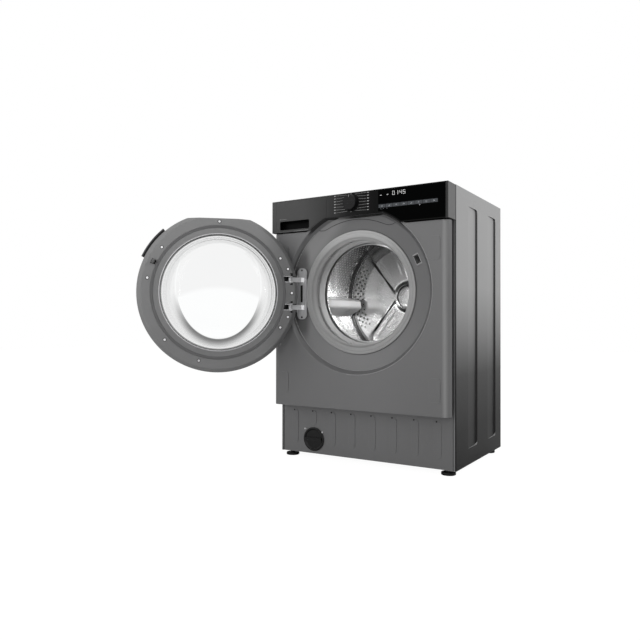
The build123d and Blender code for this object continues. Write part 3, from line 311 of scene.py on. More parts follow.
def fasciaPlastic(name, gloss, specular):
    # grey by the drawer, black by the display, pale on the outer return; painted shade in black on faces behind
    # the front and faces turned down
    s = fasciaFacts
    look = Look(name)
    across, depth, _ = look.axes()
    cloud = look.noise(9.0, 4.0)
    pit = look.noise(1100.0, 2.0)
    shade = look.ramp((across + s["left"]) / s["width"], s["stops"])
    worn = look.mix(across > s["display"], s["greyWear"], s["blackWear"])
    shade = look.over(
        shade, (cloud * 0.2, 0.01), (look.band(depth, *s["sunk"]) * (abs(across) < s["half"]), s["deepShade"]),
        (look.band(look.facing()[2], -0.2, -0.5), s["deepShade"]), (look.worn(s["wear"]) * 0.2, worn))
    return look.close(shade, gloss + (pit - 0.5) * 0.1 + (cloud - 0.5) * 0.06, pit, 0.00002,
                      Specular_IOR_Level=specular)


# Rubber: gasket, hoses, belt and shaft seal
rubberFacts = {
    "cloudScale": 14.0, "dustScale": 220.0, "dustShare": 0.2, "specular": 0.35, "coneFade": (-0.022, -0.012),
    "topFade": (0.62, 0.7), "topShade": 0.66
}


def rubber(name, colour, gloss=0.5, cone=None):
    s = rubberFacts
    look = Look(name)
    cloud = look.noise(s["cloudScale"], 5.0)
    dust = look.noise(s["dustScale"], 3.0)
    shade = look.mix(cloud, times(colour, 0.9), times(colour, 1.08))
    if cone:
        # painted light: the gasket's cone and its top are paler
        _, depth, height = look.axes()
        shade = look.over(
            shade, (look.band(depth, *s["coneFade"]), cone),
            (look.band(height, *s["topFade"]) * 0.55, s["topShade"]))
    shade = look.mix(look.band(dust, 0.55, 0.75) * s["dustShare"], shade, times(colour, 1.4, 0.02))
    return look.close(shade, gloss + (dust - 0.5) * 0.2, dust, 0.00006, Specular_IOR_Level=s["specular"])


# Metals, with the drum's painted shade
def metal(name, colour, gloss=0.25, stretch=None, scale=60.0, depth=0.00002, metallic=1.0, shape=None):
    look = Look(name)
    cloud = look.noise(6.0, 4.0)
    grain = look.noise(scale, 4.0, stretch)
    shade = look.mix(grain, times(colour, 0.88), times(colour, 1.1))
    shade = look.mix(cloud * 0.3, shade, times(colour, 0.8))
    if shape:
        shade = shape(look, shade)
    rough = gloss + (grain - 0.5) * 0.16 + (cloud - 0.5) * 0.08
    return look.close(shade, rough, grain, depth, Metallic=metallic)


steelFacts = {
    "back": 0.33, "bandStart": (0.172, 0.178), "bandEnd": (0.226, 0.219), "bandFade": (-0.08, 0.0),
    "bandShade": 0.16, "roofFade": (0.15, -0.7), "roofShade": 0.14, "stepShade": 0.03
}


def drumPaintedShade(look, shade):
    # painted shade: dark on the steep walls pressed into the back, its pierced band and the drum's upper side
    s = steelFacts
    across, depth, height = look.axes()
    _, ahead, upward = look.facing()
    ahead, rise = abs(ahead), height - axisHeight
    reach = look.apart(across, rise)
    pierced = (look.band(reach, *s["bandStart"]) * look.band(reach, *s["bandEnd"])
               * look.band(rise, *s["bandFade"]))
    steep = look.band(ahead, 0.985, 0.93) * (ahead > 0.2) * (depth > s["back"])
    return look.over(
        shade, (pierced * (depth > s["back"]) * 0.6, s["bandShade"]),
        (look.band(upward, *s["roofFade"]) * 0.7, s["roofShade"]), (steep * 0.92, s["stepShade"]))


def zincSteel(name):
    look = Look(name)
    cell = look.add("TexVoronoi", {"feature": "F1"}, {"Vector": look.place, "Scale": 90.0}, "Color")
    cloud = look.noise(5.0, 5.0)
    value = look.add("RGBToBW", {}, {0: cell})
    shade = look.ramp(value, [(0.0, (0.46, 0.47, 0.48)), (1.0, (0.62, 0.63, 0.64))])
    shade = look.mix(cloud * 0.4, shade, (0.4, 0.4, 0.41))
    return look.close(shade, 0.36 + value * 0.22, cloud, 0.0001, Metallic=0.9)


def castBlock(name):
    look = Look(name)
    coarse = look.noise(90.0, 6.0, None, 0.65)
    pore = look.add("TexVoronoi", {"feature": "F1"}, {"Vector": look.place, "Scale": 160.0})
    shade = look.mix(coarse, (0.17, 0.165, 0.16), (0.31, 0.3, 0.29))
    shade = look.mix(look.band(pore, 0.0, 0.2) * -0.5 + 0.5, shade, 0.08)
    return look.close(shade, 0.85 - coarse * 0.1, coarse + look.band(pore, 0.0, 0.3) * 0.6, 0.0008)


# Door glass: the flat window is an ellipse as the camera sees it, offset from the door's axis
glassFacts = {
    "x": 0.005, "z": 0.014, "wide": 0.121, "high": 0.155, "depth": 0.9, "crescentShade": 0.1,
    "slopeShade": 0.78, "upperShade": 0.86, "hoopStart": (0.1705, 0.1715), "hoopEnd": (0.1745, 0.1735),
    "hoopShade": 0.03, "index": 1.16
}


def clearGlass(name):
    # painted shade and reflection: greyer where seen at a slant, on its slopes and in the upper half, with a
    # painted dark crescent under the window; and a dark hoop
    s = glassFacts
    look = Look(name)
    smear = look.noise(12.0, 4.0)
    edge = look.add("LayerWeight", {}, {"Blend": 0.35}, "Facing")
    clear = look.mix(smear, (0.99, 0.995, 0.995), (0.97, 0.98, 0.98))
    fromHinge = look.add("VectorMath", {"operation": "SUBTRACT"},
                         {0: look.place, 1: (hingeLine.x, hingeLine.y, axisHeight)})
    shut = look.add("Mapping", {"vector_type": "POINT"}, {"Vector": fromHinge, "Rotation": (0, 0, -openTurn)})
    across, _, rise = look.split(shut)
    wide = across + hingeLine.x
    aside, upward = wide - s["x"], rise - s["z"]
    reach = look.apart(aside / s["wide"], upward / s["high"])
    low = look.band(upward, -0.01, -0.13)
    crescent = look.band(reach, 0.985, 1.0) * look.band(reach, 1.2, 1.0) * low
    radial = look.apart(wide, rise)
    hoop = look.band(radial, *s["hoopStart"]) * look.band(radial, *s["hoopEnd"])
    upper = look.band(upward + aside * aside * 2.0, -0.014, 0.004) * look.band(reach, 1.02, 0.99)
    clear = look.over(
        clear, (look.band(edge, 0.35, 1.0), (0.62, 0.63, 0.63)),
        (look.band(reach, 1.0, 1.06) * 0.5, s["slopeShade"]), (upper * 0.6, s["upperShade"]),
        (crescent * s["depth"], s["crescentShade"]), (hoop * 0.85, s["hoopShade"]))
    return look.close(clear, look.band(smear, 0.45, 0.9) * 0.02 + 0.005, smear, 0.00001,
                      Transmission_Weight=1.0, IOR=s["index"])


# print colour with a glow: on the display's digits the glow stands for their lamps; on printed marks and
# symbols it is painted light
def litPrint(name, colour, glow):
    look = Look(name)
    cloud = look.noise(300.0, 2.0)
    return look.close(look.mix(cloud, times(colour, 0.85), colour), 0.5 + (cloud - 0.5) * 0.2, cloud,
                      0.00001, Emission_Color=colour, Emission_Strength=glow)


def grey(level, blue=0.0):
    return (level, level, level + blue)


finishes = {}


def coat(slotName, nodeNames, make, *facts, **more):
    # makes the finish of a slot and puts it on the CAD nodes
    first, *rest = slotName.split("_")
    material = finishes[slotName] = make(first + "".join(rest).title(), *facts, **more)
    for nodeName in nodeNames.split():
        mesh = nodes[nodeName].data
        mesh.materials.clear()
        mesh.materials.append(material)


coat("side_paint", "side_panel_left side_panel_right", paintedSteel, grey(0.2, 0.003), 0.38, 0.12, sidePaintedLight,
     edgeGain=3.2, specular=0.15)
coat("front_paint", "front_panel kick_panel", paintedSteel, grey(0.16, 0.002), 0.45, 0.2, frontPaintedLight)
coat("galvanised", "top_panel rear_panel rear_cover base_tray frame_rails", zincSteel)
coat("fascia_black", "control_fascia drawer_front", fasciaPlastic, 0.45, 0.06)
coat("display_black", "display_window", plastic, (0.0007, 0.0008, 0.0008), 0.35, grain=0.000004, edgeGain=1.0,
     specular=0.01)
# its strong edge brightening is a painted highlight on the knob's rim
coat("knob_metal", "program_knob", plastic, grey(0.006, 0.0003), 0.36, grain=0.00002, edgeGain=22.0,
     specular=0.15)
coat("board_green", "ui_board", plastic, (0.02, 0.13, 0.06), 0.45)
coat("case_plastic", "power_module drain_spigot mains_inlet pump_impeller", plastic, grey(0.05), 0.55)
coat("tray_plastic", "drawer_tray", plastic, grey(0.6))
coat("siphon_blue", "siphon_cap", plastic, (0.05, 0.16, 0.42), 0.35)
coat("housing_plastic", "dispenser_housing", plastic, grey(0.5, -0.01), 0.5)
coat("valve_plastic", "inlet_valve", plastic, grey(0.7, -0.02), 0.45)
coat("hose_rubber", "water_hoses sump_hose", rubber, grey(0.03))
coat("tub_plastic", "tub_front tub_rear", plastic, grey(0.55, -0.02), 0.5, grain=0.00006, scale=400.0)
coat("screw_steel", "tub_screws door_screws door_hinge_leaf", metal, grey(0.75, 0.01))
coat("gasket_rubber", "gasket", rubber, grey(0.35), 0.42, cone=grey(0.48))
coat("spring_steel", "gasket_clamp suspension_springs", metal, grey(0.35), 0.35)
coat("weight", "counterweights", castBlock)
coat("damper_steel", "dampers", metal, grey(0.4, 0.01), 0.35)
coat("heater_steel", "heater", metal, grey(0.5), 0.35)
coat("pump_plastic", "drain_pump", plastic, grey(0.42), 0.5)
# its strong edge brightening is a painted highlight on the edges of these black parts
coat("cap_black", "filter_cap", plastic, grey(0.006), 0.36, edgeGain=9.0, specular=0.3)
coat("filter_grey", "filter_insert", plastic, grey(0.35), 0.5)
coat("motor_metal", "motor_housing", metal, grey(0.5, 0.01), 0.45)
coat("rotor_metal", "motor_rotor", metal, grey(0.55), 0.3, stretch=(1, 0.05, 1), scale=300.0)
coat("belt_rubber", "drive_belt", rubber, grey(0.02))
coat("bearing_steel", "drum_bearings", metal, grey(0.65), 0.15)
coat("seal_rubber", "shaft_seal", rubber, grey(0.03))
coat("shaft_steel", "drum_shaft", metal, grey(0.55), stretch=(1, 0.05, 1), scale=300.0)
coat("drum_steel", "drum_shell drum_rear", metal, grey(0.9), 0.22, stretch=(1, 1, 6), scale=90.0,
     depth=0.000006, metallic=0.9, shape=drumPaintedShade)
coat("spider_alloy", "drum_spider", metal, grey(0.5), 0.45)
coat("lifter_plastic", "drum_lifters", plastic, grey(0.6), 0.3)
coat("pulley_alloy", "drum_pulley", metal, grey(0.55, 0.01), 0.35)
coat("door_grey", "door_inner_frame", plastic, grey(0.242, 0.002), 0.5, grain=0.00002, scale=1200.0,
     edgeGain=1.4, specular=0.3, shape=doorPaintedLight)
coat("door_dark", "door_outer_frame", plastic, grey(0.055, 0.001), edgeGain=2.0, specular=0.35)
coat("door_glass", "door_glass", clearGlass)
coat("hinge_chrome", "hinge_bracket hinge_pin", metal, grey(0.62, 0.01), 0.38, scale=200.0, metallic=0.3)
coat("lock_black", "door_lock", plastic, grey(0.3))
coat("latch_grey", "latch_hook", plastic, grey(0.1))
coat("foot_black", "foot_front_left foot_front_right foot_rear_left foot_rear_right", plastic, grey(0.009),
     0.5, specular=0.2)
print("finishes done:", len(finishes))


# Shaping tools
def placed(name, data):
    # a new object in the scene
    held = bpy.data.objects.new(name, data)
    bpy.context.scene.collection.objects.link(held)
    return held


def meshFrom(work, name):
    mesh = bpy.data.meshes.new(name)
    work.to_mesh(mesh)
    work.free()
    return mesh


def swing(work, verts, angle, axis):
    bmesh.ops.rotate(work, verts=verts, cent=(0, 0, 0), matrix=Matrix.Rotation(angle, 3, axis))


def rounded(points, radii, steps=6):
    # a closed outline with each corner drawn as an arc of that radius
    made = []
    count = len(points)
    for i, (corner, radius) in enumerate(zip(points, radii)):
        here = Vector(corner)
        back = Vector(points[i - 1]) - here
        ahead = Vector(points[(i + 1) % count]) - here
        if radius <= 0 or back.length < 1e-9 or ahead.length < 1e-9:
            made.append(here)
            continue
        half = back.angle(ahead) / 2
        reach = min(radius / tan(half), back.length * 0.49, ahead.length * 0.49)
        radius = reach * tan(half)
        start, end = here + back.normalized() * reach, here + ahead.normalized() * reach
        middle = here + (back.normalized() + ahead.normalized()).normalized() * (radius / sin(half))
        for k in range(steps + 1):
            share = k / steps
            arm = (start - middle).lerp(end - middle, share)
            made.append(middle + arm.normalized() * radius)
    return made


def drawLine(work, points):
    # a chain of edges through the points
    last = bmesh.ops.create_vert(work, co=points[0])["vert"][0]
    for point in points[1:]:
        last = bmesh.ops.extrude_vert_indiv(work, verts=[last])["verts"][0]
        last.co = point


weldGap = 2e-6


def weld(work, gap=weldGap):
    bmesh.ops.remove_doubles(work, verts=work.verts[:], dist=gap)


def turned(outline, steps=144, closed=True):
    # a ring about the Y axis from an outline of (radius, y) in millimetres
    work = bmesh.new()
    points = [Vector((p[0], p[1], 0)) / 1000 for p in outline]
    drawLine(work, points + points[:1] if closed else points)
    weld(work, 1e-7)
    bmesh.ops.spin(work, geom=work.verts[:] + work.edges[:], cent=(0, 0, 0), axis=(0, 1, 0), dvec=(0, 0, 0),
                   angle=tau, steps=steps, use_merge=True, use_duplicate=False)
    return work


def around(radius, y, angle):
    # a point about the Y axis, from millimetres to metres
    return Vector((radius * cos(angle), y, radius * sin(angle))) / 1000


def gather(work, extra):
    # adds one shape to another
    part = meshFrom(extra, "part")
    work.from_mesh(part)
    bpy.data.meshes.remove(part)


def block(work, low, high, turn=None, bevel=0.0):
    # a box between two corners in millimetres, its edges rounded
    low, high = Vector(low) / 1000, Vector(high) / 1000
    made = bmesh.ops.create_cube(work, size=1.0)["verts"]
    bmesh.ops.scale(work, verts=made, vec=high - low)
    if bevel:
        edges = list({e for v in made for e in v.link_edges})
        made = bmesh.ops.bevel(work, geom=edges, offset=bevel / 1000, offset_type="OFFSET", segments=2,
                               profile=0.5, affect="EDGES", material=-1)["verts"]
        made = list({v for v in made} | {w for v in made for e in v.link_edges for w in e.verts})
    if turn:
        swing(work, made, turn, "Y")
    bmesh.ops.translate(work, verts=made, vec=(low + high) / 2)
    return made


def disc(work, x, y0, y1, z, radius, sides=24):
    made = bmesh.ops.create_cone(work, cap_ends=True, segments=sides, radius1=radius / 1000,
                                 radius2=radius / 1000, depth=abs(y1 - y0) / 1000)["verts"]
    swing(work, made, pi / 2, "X")
    bmesh.ops.translate(work, verts=made, vec=Vector((x, (y0 + y1) / 2, z)) / 1000)


def piercedSheet(columns, rows, isHole, share):
    # a sheet of unit cells, some pierced by an eight-sided hole whose wall goes one unit along z
    work = bmesh.new()
    bmesh.ops.create_grid(work, x_segments=columns, y_segments=rows, size=0.5)
    for vert in work.verts:
        vert.co = Vector(((vert.co.x + 0.5) * columns, (vert.co.y + 0.5) * rows, 0))
    cells = []
    for face in work.faces:
        middle = face.calc_center_median()
        if isHole(int(middle.x), int(middle.y)):
            cells.append(face)
    bmesh.ops.inset_individual(work, faces=cells, thickness=(1 - share) / 2, use_even_offset=True)
    for face in cells:
        face.material_index = 1
    corners = [vert for face in cells for vert in face.verts]
    bmesh.ops.bevel(work, geom=corners, offset=share * 0.29, offset_type="OFFSET", segments=1, profile=0.5,
                    affect="VERTICES", material=-1)
    holes = [face for face in work.faces if face.material_index == 1 and len(face.verts) > 4]
    rims = list({edge for face in holes for edge in face.edges})
    bmesh.ops.delete(work, geom=holes, context="FACES_ONLY")
    grown = bmesh.ops.extrude_edge_only(work, edges=rims)["geom"]
    for vert in grown:
        if isinstance(vert, bmesh.types.BMVert):
            vert.co.z = 1.0
    for face in work.faces:
        face.material_index = 0
    return work


def publish(work, name, body, slotName, material=None, stands=(), crease=35.0, place=None, outward=True):
    if place is not None:
        bmesh.ops.transform(work, matrix=place, verts=work.verts[:])
    weld(work)
    if outward:
        bmesh.ops.recalc_face_normals(work, faces=work.faces[:])
    mesh = meshFrom(work, name)
    mesh.shade_smooth()
    mesh.set_sharp_from_angle(angle=radians(crease))
    mesh.materials.append(material or finishes[slotName])
    piece = placed(name, mesh)
    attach(piece, body)
    if stands:
        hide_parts(*stands)


onAxis = Matrix.Translation((0, 0, axisHeight))
doorOpen = (Matrix.Translation(hingeLine) @ Matrix.Rotation(openTurn, 4, "Z")
            @ Matrix.Translation(-hingeLine) @ onAxis)


# Drum: pierced wall with its folded front and its beaded tail
drumSizes = {
    "radius": 235.0, "steel": 1.2, "mouth": 150.0, "lip": 44.0, "front": 48.0, "back": 350.2, "wallStart": 72.0,
    "wallEnd": 331.2, "bead": (340, 341, 344, 345), "beadDepth": 1.0, "columns": 164, "rows": 29,
    "holeShare": 0.62, "waves": 9, "waveDepth": 0.7, "drift": 4.0
}


def makeDrumWall():
    s = drumSizes
    inside, steel = s["radius"], s["steel"]
    outside = inside + steel
    pitch = (s["wallEnd"] - s["wallStart"]) / s["rows"]
    work = piercedSheet(s["columns"], s["rows"], lambda i, j: (i + j) % 2 == 0, s["holeShare"])
    for vert in work.verts:
        u, v, w = vert.co
        angle, share = tau * u / s["columns"], v / s["rows"]
        fade = s["waveDepth"] * sin(pi * share)
        wave = fade * sin(s["waves"] * angle + s["drift"] * sin(tau * share))
        radius, y = inside - fade + wave + w * steel, s["wallStart"] + v * pitch
        vert.co = around(radius, y, angle)
    weld(work)
    fold = rounded([(inside, s["wallStart"]), (inside, s["front"] + steel), (s["mouth"], s["front"] + steel),
                    (s["mouth"], s["lip"]), (s["mouth"] + steel, s["lip"]), (s["mouth"] + steel, s["front"]),
                    (outside, s["front"]), (outside, s["wallStart"])], [0, 10, 2, 0.4, 0.4, 0.8, 11, 0], 8)
    y0, y1, y2, y3 = s["bead"]
    sunk = inside - s["beadDepth"]
    tail = [(inside, s["wallEnd"]), (inside, y0), (sunk, y1), (sunk, y2), (inside, y3), (inside, s["back"]),
            (outside, s["back"]), (outside, s["wallEnd"])]
    for outline in (fold, tail):
        ring = turned(outline, s["columns"])
        bmesh.ops.recalc_face_normals(ring, faces=ring.faces[:])
        gather(work, ring)
    publish(work, "drumShellPierced", "drum", "drum_steel", stands=["drum_shell"], place=onAxis, outward=False)


# Drum back: three raised arms, a pierced band between them, a hub and a rolled rim
backSizes = {
    "columns": 120, "rings": 44, "face": 350.2, "steel": 1.2, "hole": 30.0, "bandStart": 177.0, "bandRow": 10.5,
    "bandRows": 4, "bandOverlap": 0.4, "holeShare": 0.74, "holeFree": 27.0, "arms": 3, "armHeight": 7.5,
    "armHalf": 30.0, "armSpread": 0.14, "armBlend": 16.0, "rimEnd": 224.0, "rimBlend": 34.0, "hubEnd": 44.0,
    "hubBlend": 14.0, "hubHeight": 1.5, "valleyHeight": 3.0, "valleyRadius": 118.0, "valleyWidth": 34.0,
    "grooveDepth": 1.6, "grooveInset": 20.0, "grooveWidth": 3.2, "grooveStart": 70.0, "grooveBlend": 30.0
}
backRim = [
    (218.6, 350.2), (220, 349.2), (222, 348.9), (223.5, 350), (225, 348.9), (226.6, 348.8), (228, 350),
    (229.4, 346.6), (231.6, 345.2), (233.6, 346), (234.7, 348.6), (234.7, 350.2)
]
backHub = [
    (30.3, 349.2), (34, 347.2), (41, 345.4), (44.5, 346.8), (41, 343.2), (31, 341.2), (17, 340.7), (0.02, 340.5)
]


def clamp(share):
    return min(1.0, max(0.0, share))


def eased(share):
    share = clamp(share)
    return share * share * (3 - 2 * share)


def bell(distance, width):
    return exp(-(distance / width) ** 2)


def embossAt(radius, angle):
    # how far the back disc stands towards the door
    s = backSizes
    turn = tau / s["arms"]
    aside = (angle + turn / 2) % turn - turn / 2
    lateral = abs(radius * sin(aside)) if abs(aside) < pi / 2 else radius
    half = s["armHalf"] + s["armSpread"] * radius
    arm = eased((half - lateral) / s["armBlend"] + 0.5)
    rim = eased((s["rimEnd"] - radius) / s["rimBlend"])
    hub = clamp((radius - s["hubEnd"]) / s["hubBlend"])
    valley = (1 - arm) * s["valleyHeight"] * bell(radius - s["valleyRadius"], s["valleyWidth"])
    groove = (s["grooveDepth"] * arm * bell(lateral - half + s["grooveInset"], s["grooveWidth"])
              * clamp((radius - s["grooveStart"]) / s["grooveBlend"]))
    return (s["armHeight"] * arm * rim + valley - groove) * hub + (1 - hub) * s["hubHeight"]


def placeOnBack(vert, angle, radius, inward):
    y = backSizes["face"] - embossAt(radius, angle) + inward * backSizes["steel"]
    vert.co = around(radius, y, angle)


def bandHole(column, row):
    # holes only between the arms
    s = backSizes
    spacing = 360 / s["arms"]
    aside = (360 * (column + 0.5) / s["columns"] + spacing / 2) % spacing - spacing / 2
    return (column + row) % 2 == 0 and abs(aside) > s["holeFree"]


def makeDrumBack():
    s = backSizes
    band = piercedSheet(s["columns"], s["bandRows"], bandHole, s["holeShare"])
    for vert in band.verts:
        u, v, w = vert.co
        placeOnBack(vert, tau * u / s["columns"], s["bandStart"] + v * s["bandRow"], w)
    work = bmesh.new()
    bmesh.ops.create_grid(work, x_segments=s["columns"] * 2, y_segments=s["rings"], size=0.5)
    for vert in work.verts:
        radius = s["hole"] + (vert.co.y + 0.5) * (s["bandStart"] + s["bandOverlap"] - s["hole"])
        placeOnBack(vert, tau * (vert.co.x + 0.5), radius, 0)
    for outline in (backRim, backHub):
        gather(work, turned(outline, s["columns"] * 2, False))
    gather(work, band)
    publish(work, "drumBackEmbossed", "drum", "drum_steel", stands=["drum_rear"], crease=40, place=onAxis)


hubScrews = {"count": 3, "first": 100.0, "circle": 23.0, "radius": 4.2, "ends": (341.4, 339.9)}


def makeHubScrews():
    s = hubScrews
    work = bmesh.new()
    for i in range(s["count"]):
        angle = radians(s["first"] + 360 / s["count"] * i)
        disc(work, s["circle"] * cos(angle), *s["ends"], s["circle"] * sin(angle), s["radius"], 6)
    publish(work, "drumHubScrews", "drum", "screw_steel", place=onAxis)


makeDrumWall()
makeDrumBack()
makeHubScrews()
print("drum done")


# Door: clear bowl with its flange and steps, as (radius, y) with the door shut
bowlSizes = {
    "outer": [(186.5, -45), (177, -45), (169, -32), (157, -4), (145, 21), (131, 42), (118, 49.5), (0.0, 51.5)],
    "inner": [(0.0, 46.5), (115.6, 44.6), (127.2, 38), (140.6, 18.4), (152.4, -6.6), (164, -36), (172, -50),
    (186.5, -50)], "bends": [0.6, 1.2, 14, 80, 80, 30, 16, 0], "sides": 180
}


def makeBowl():
    s = bowlSizes
    line = rounded(s["outer"] + s["inner"], s["bends"] + s["bends"][::-1], 8)
    work = turned([(max(p.x, 0.0), p.y) for p in line], s["sides"])
    publish(work, "doorBowl", "door", "door_glass", stands=["door_glass"], crease=50, place=doorOpen)


beadSizes = {
    "bead": [(195.0, -34.2), (195.6, -33.3), (202.8, -33.3), (203.4, -34.2)], "beadBends": [0, 0.5, 0.5, 0],
    "trim": [(176.2, -34.6), (176.2, -33.2), (177.6, -32.6), (179.4, -33.2), (179.4, -34.6)], "trimBends": [0,
    0.5, 0.6, 0.5, 0]
}
# darker grey for the ring that stands in the door's groove: painted shade
grooveShadeLook = plastic("beadGrey", grey(0.11, 0.002), 0.5)


def makeDoorRings():
    s = beadSizes
    bead = turned(rounded(s["bead"], s["beadBends"], 4), bowlSizes["sides"])
    trim = turned(rounded(s["trim"], s["trimBends"], 4), bowlSizes["sides"])
    publish(bead, "doorBead", "door", "door_grey", grooveShadeLook, place=doorOpen)
    publish(trim, "bowlTrim", "door", "hinge_chrome", place=doorOpen)


makeBowl()
makeDoorRings()
print("bowl done")


# Gasket: ribbed bellows, lip and drain ribs
gasketSizes = {
    "front": -24.6, "mouth": 160.0, "sides": 180, "ribs": 12, "ribTurn": 15.0, "ribReach": 0.1615,
    "ribLow": (-3.0, -2.5, -1.2), "ribHigh": (3.0, 9.0, 1.2), "ribBevel": 0.8, "lip": [(155, 37.4), (157.5, 32),
    (161.5, 24), (164, 20.5), (174.6, 20.5), (174.6, 23.6), (166, 23.6), (159.6, 38.6), (156.6, 40)],
    "lipBends": [2, 4, 6, 2.5, 0.5, 0.5, 3, 1.2, 1.2], "hidden": [(175.4, 33.4), (175.4, 19.6), (179, 11.4),
    (179, 0.6), (163.8, -5.2), (164.4, -9.6), (169.4, -20.9), (187.2, -21.2)], "hiddenBends": [0, 2, 3, 2, 2, 2,
    1.5, 0]
}


def makeGasket():
    s = gasketSizes
    front, mouth = s["front"], s["mouth"]
    seen = [(187.2, front + 2.6), (186.6, front), (181.5, front - 0.8), (179.4, front + 0.5),
            (177.2, front - 0.8), (171.0, front - 0.6), (169.6, front + 0.4), (168.2, front - 0.2),
            (mouth + 6.4, front + 2.0), (mouth + 0.8, -10.4), (mouth + 0.3, -4.2), (162.4, -2.4),
            (173.6, 1.6), (176, 3.6), (176, 11), (172.4, 19.2), (172.4, 33.4)]
    outline = rounded(seen, [0.6, 1.6, 1.2, 0.6, 1.2, 0.8, 0.6, 0.8, 1.6, 3, 2, 2, 2, 2, 3, 4, 0], 5)
    work = turned(outline + rounded(s["hidden"], s["hiddenBends"], 4), s["sides"])
    gather(work, turned(rounded(s["lip"], s["lipBends"], 5), s["sides"]))
    for i in range(s["ribs"]):
        made = block(work, s["ribLow"], s["ribHigh"], bevel=s["ribBevel"])
        bmesh.ops.translate(work, verts=made, vec=(s["ribReach"], 0, 0))
        swing(work, made, radians(360 / s["ribs"] * i + s["ribTurn"]), "Y")
    publish(work, "gasketRibbed", "cabinet", "gasket_rubber", stands=["gasket"], crease=50, place=onAxis)


makeGasket()
print("gasket done")


# Suspension: wound springs
springSizes = {"wire": 2.6, "wireSides": 10, "turns": 13, "perTurn": 22}


def makeSprings():
    low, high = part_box("suspension_springs")
    s = springSizes
    wire = s["wire"] / 1000
    reach = (high.y - low.y) / 2
    steps = s["turns"] * s["perTurn"]
    climb = (high.z - low.z - wire) / steps
    work = bmesh.new()
    for side in (-1, 1):
        x = side * (high.x - reach)
        made = bmesh.ops.create_circle(work, segments=s["wireSides"], radius=wire / 2)["verts"]
        swing(work, made, pi / 2, "X")
        start = Vector((x + reach - wire / 2, (low.y + high.y) / 2, low.z + wire / 2))
        bmesh.ops.translate(work, verts=made, vec=start)
        edges = list({e for v in made for e in v.link_edges})
        bmesh.ops.spin(work, geom=made + edges, cent=(x, start.y, 0), axis=(0, 0, 1), dvec=(0, 0, climb),
                       angle=tau * s["turns"], steps=steps, use_merge=False, use_duplicate=False)
    bmesh.ops.holes_fill(work, edges=[e for e in work.edges if e.is_boundary], sides=s["wireSides"] + 2)
    publish(work, "woundSprings", "cabinet", "spring_steel", stands=["suspension_springs"], crease=40)


makeSprings()
print("springs done")


# Control panel prints, raised by the thickness of their ink
inkSizes = {"face": -55.5, "ink": 0.12, "sunk": 0.02}
inks = {name: litPrint(name, colour, glow) for name, colour, glow in (
    ("printInk", grey(0.55), 0.08), ("faintInk", grey(0.32), 0.06), ("lampInk", grey(0.75), 0.25),
    ("stripInk", (0.026, 0.031, 0.038), 0.0), ("symbolInk", (0.3, 0.31, 0.33), 0.15))}


def bar(work, x0, x1, z0, z1, lift=0.0, tilt=None):
    face = inkSizes["face"] - lift
    block(work, (x0, face - inkSizes["ink"], z0), (x1, face + inkSizes["sunk"], z1), tilt)


def dash(work, x, z, wide, high, lift=0.0, tilt=None):
    # a bar about its middle
    bar(work, x - wide / 2, x + wide / 2, z - high / 2, z + high / 2, lift, tilt)


def dot(work, x, z, radius, sides):
    disc(work, x, inkSizes["face"] - inkSizes["ink"], inkSizes["face"] + inkSizes["sunk"], z, radius, sides)


def link(work, start, end, thick):
    # a thin bar from one point to another on the panel
    (x0, z0), (x1, z1) = start, end
    dash(work, (x0 + x1) / 2, (z0 + z1) / 2, hypot(x1 - x0, z1 - z0), thick,
         tilt=-atan2(z1 - z0, x1 - x0))


labelSizes = {
    "columns": (-62.6, 50.0), "low": 764.2, "high": 815.0, "rows": 7, "height": 2.1, "line": 0.65,
    "knob": (-7.0, 790.0), "reach": 27.5, "fan": 62.0, "gap": 4.5, "bend": 14.0, "halves": [2.56, 2.08, 2.8,
    2.32, 2.64, 2.0, 2.72, 2.24, 2.48], "words": ((-1, 0.35), (0.55, 1)), "dots": (817.0, 762.6),
    "dotRadius": 1.0
}


def makeLabels():
    # a broken dash for each programme, led to the knob's rim by a bent line
    s = labelSizes
    words, lines = bmesh.new(), bmesh.new()
    knobX, knobZ = s["knob"]
    last = s["rows"] - 1
    for i in range(s["rows"]):
        z = s["low"] + (s["high"] - s["low"]) * i / last
        lean = radians(s["fan"]) * (i / last * 2 - 1)
        for side, x in zip((-1, 1), s["columns"]):
            half = s["halves"][(i * 2 + (side > 0) * 5) % len(s["halves"])]
            for first, end in s["words"]:
                bar(words, x + half * first, x + half * end, z - s["height"] / 2, z + s["height"] / 2)
            bend = (x - side * s["bend"], z)
            rim = (knobX + side * s["reach"] * cos(lean), knobZ + s["reach"] * sin(lean))
            link(lines, (x - side * s["gap"], z), bend, s["line"])
            link(lines, bend, rim, s["line"])
    for z in s["dots"]:
        dot(words, knobX, z, s["dotRadius"], 20)
    publish(words, "programmeMarks", "cabinet", "fascia_black", inks["printInk"])
    publish(lines, "leaderLines", "cabinet", "fascia_black", inks["faintInk"])


segmentsOf = {"0": "abcdef", "1": "bc", "4": "fgbc", "5": "afgcd"}
digitSizes = {
    "high": 11.6, "wide": 7.4, "thick": 1.15, "low": 798.5,
    "places": (("0", 128.4), ("1", 138.6), ("4", 151.2), ("5", 161.6)),
    "colon": (148.55, (802.0, 806.6), 1.1, 1.2), "dashes": ((91.9, 113.3), 801.55, 5.2, 1.5)
}


def makeDigits():
    s = digitSizes
    work = bmesh.new()
    low, thick = s["low"], s["thick"]
    high, middle = low + s["high"], low + s["high"] / 2
    for text, left in s["places"]:
        right = left + s["wide"]
        spots = {"a": (left, right, high - thick, high), "b": (right - thick, right, middle, high),
                 "c": (right - thick, right, low, middle), "d": (left, right, low, low + thick),
                 "e": (left, left + thick, low, middle), "f": (left, left + thick, middle, high),
                 "g": (left, right, middle - thick / 2, middle + thick / 2)}
        for letter in segmentsOf[text]:
            bar(work, *spots[letter])
    x, heights, *size = s["colon"]
    for z in heights:
        dash(work, x, z, *size)
    places, z, *size = s["dashes"]
    for x in places:
        dash(work, x, z, *size)
    publish(work, "displayDigits", "cabinet", "display_black", inks["lampInk"])


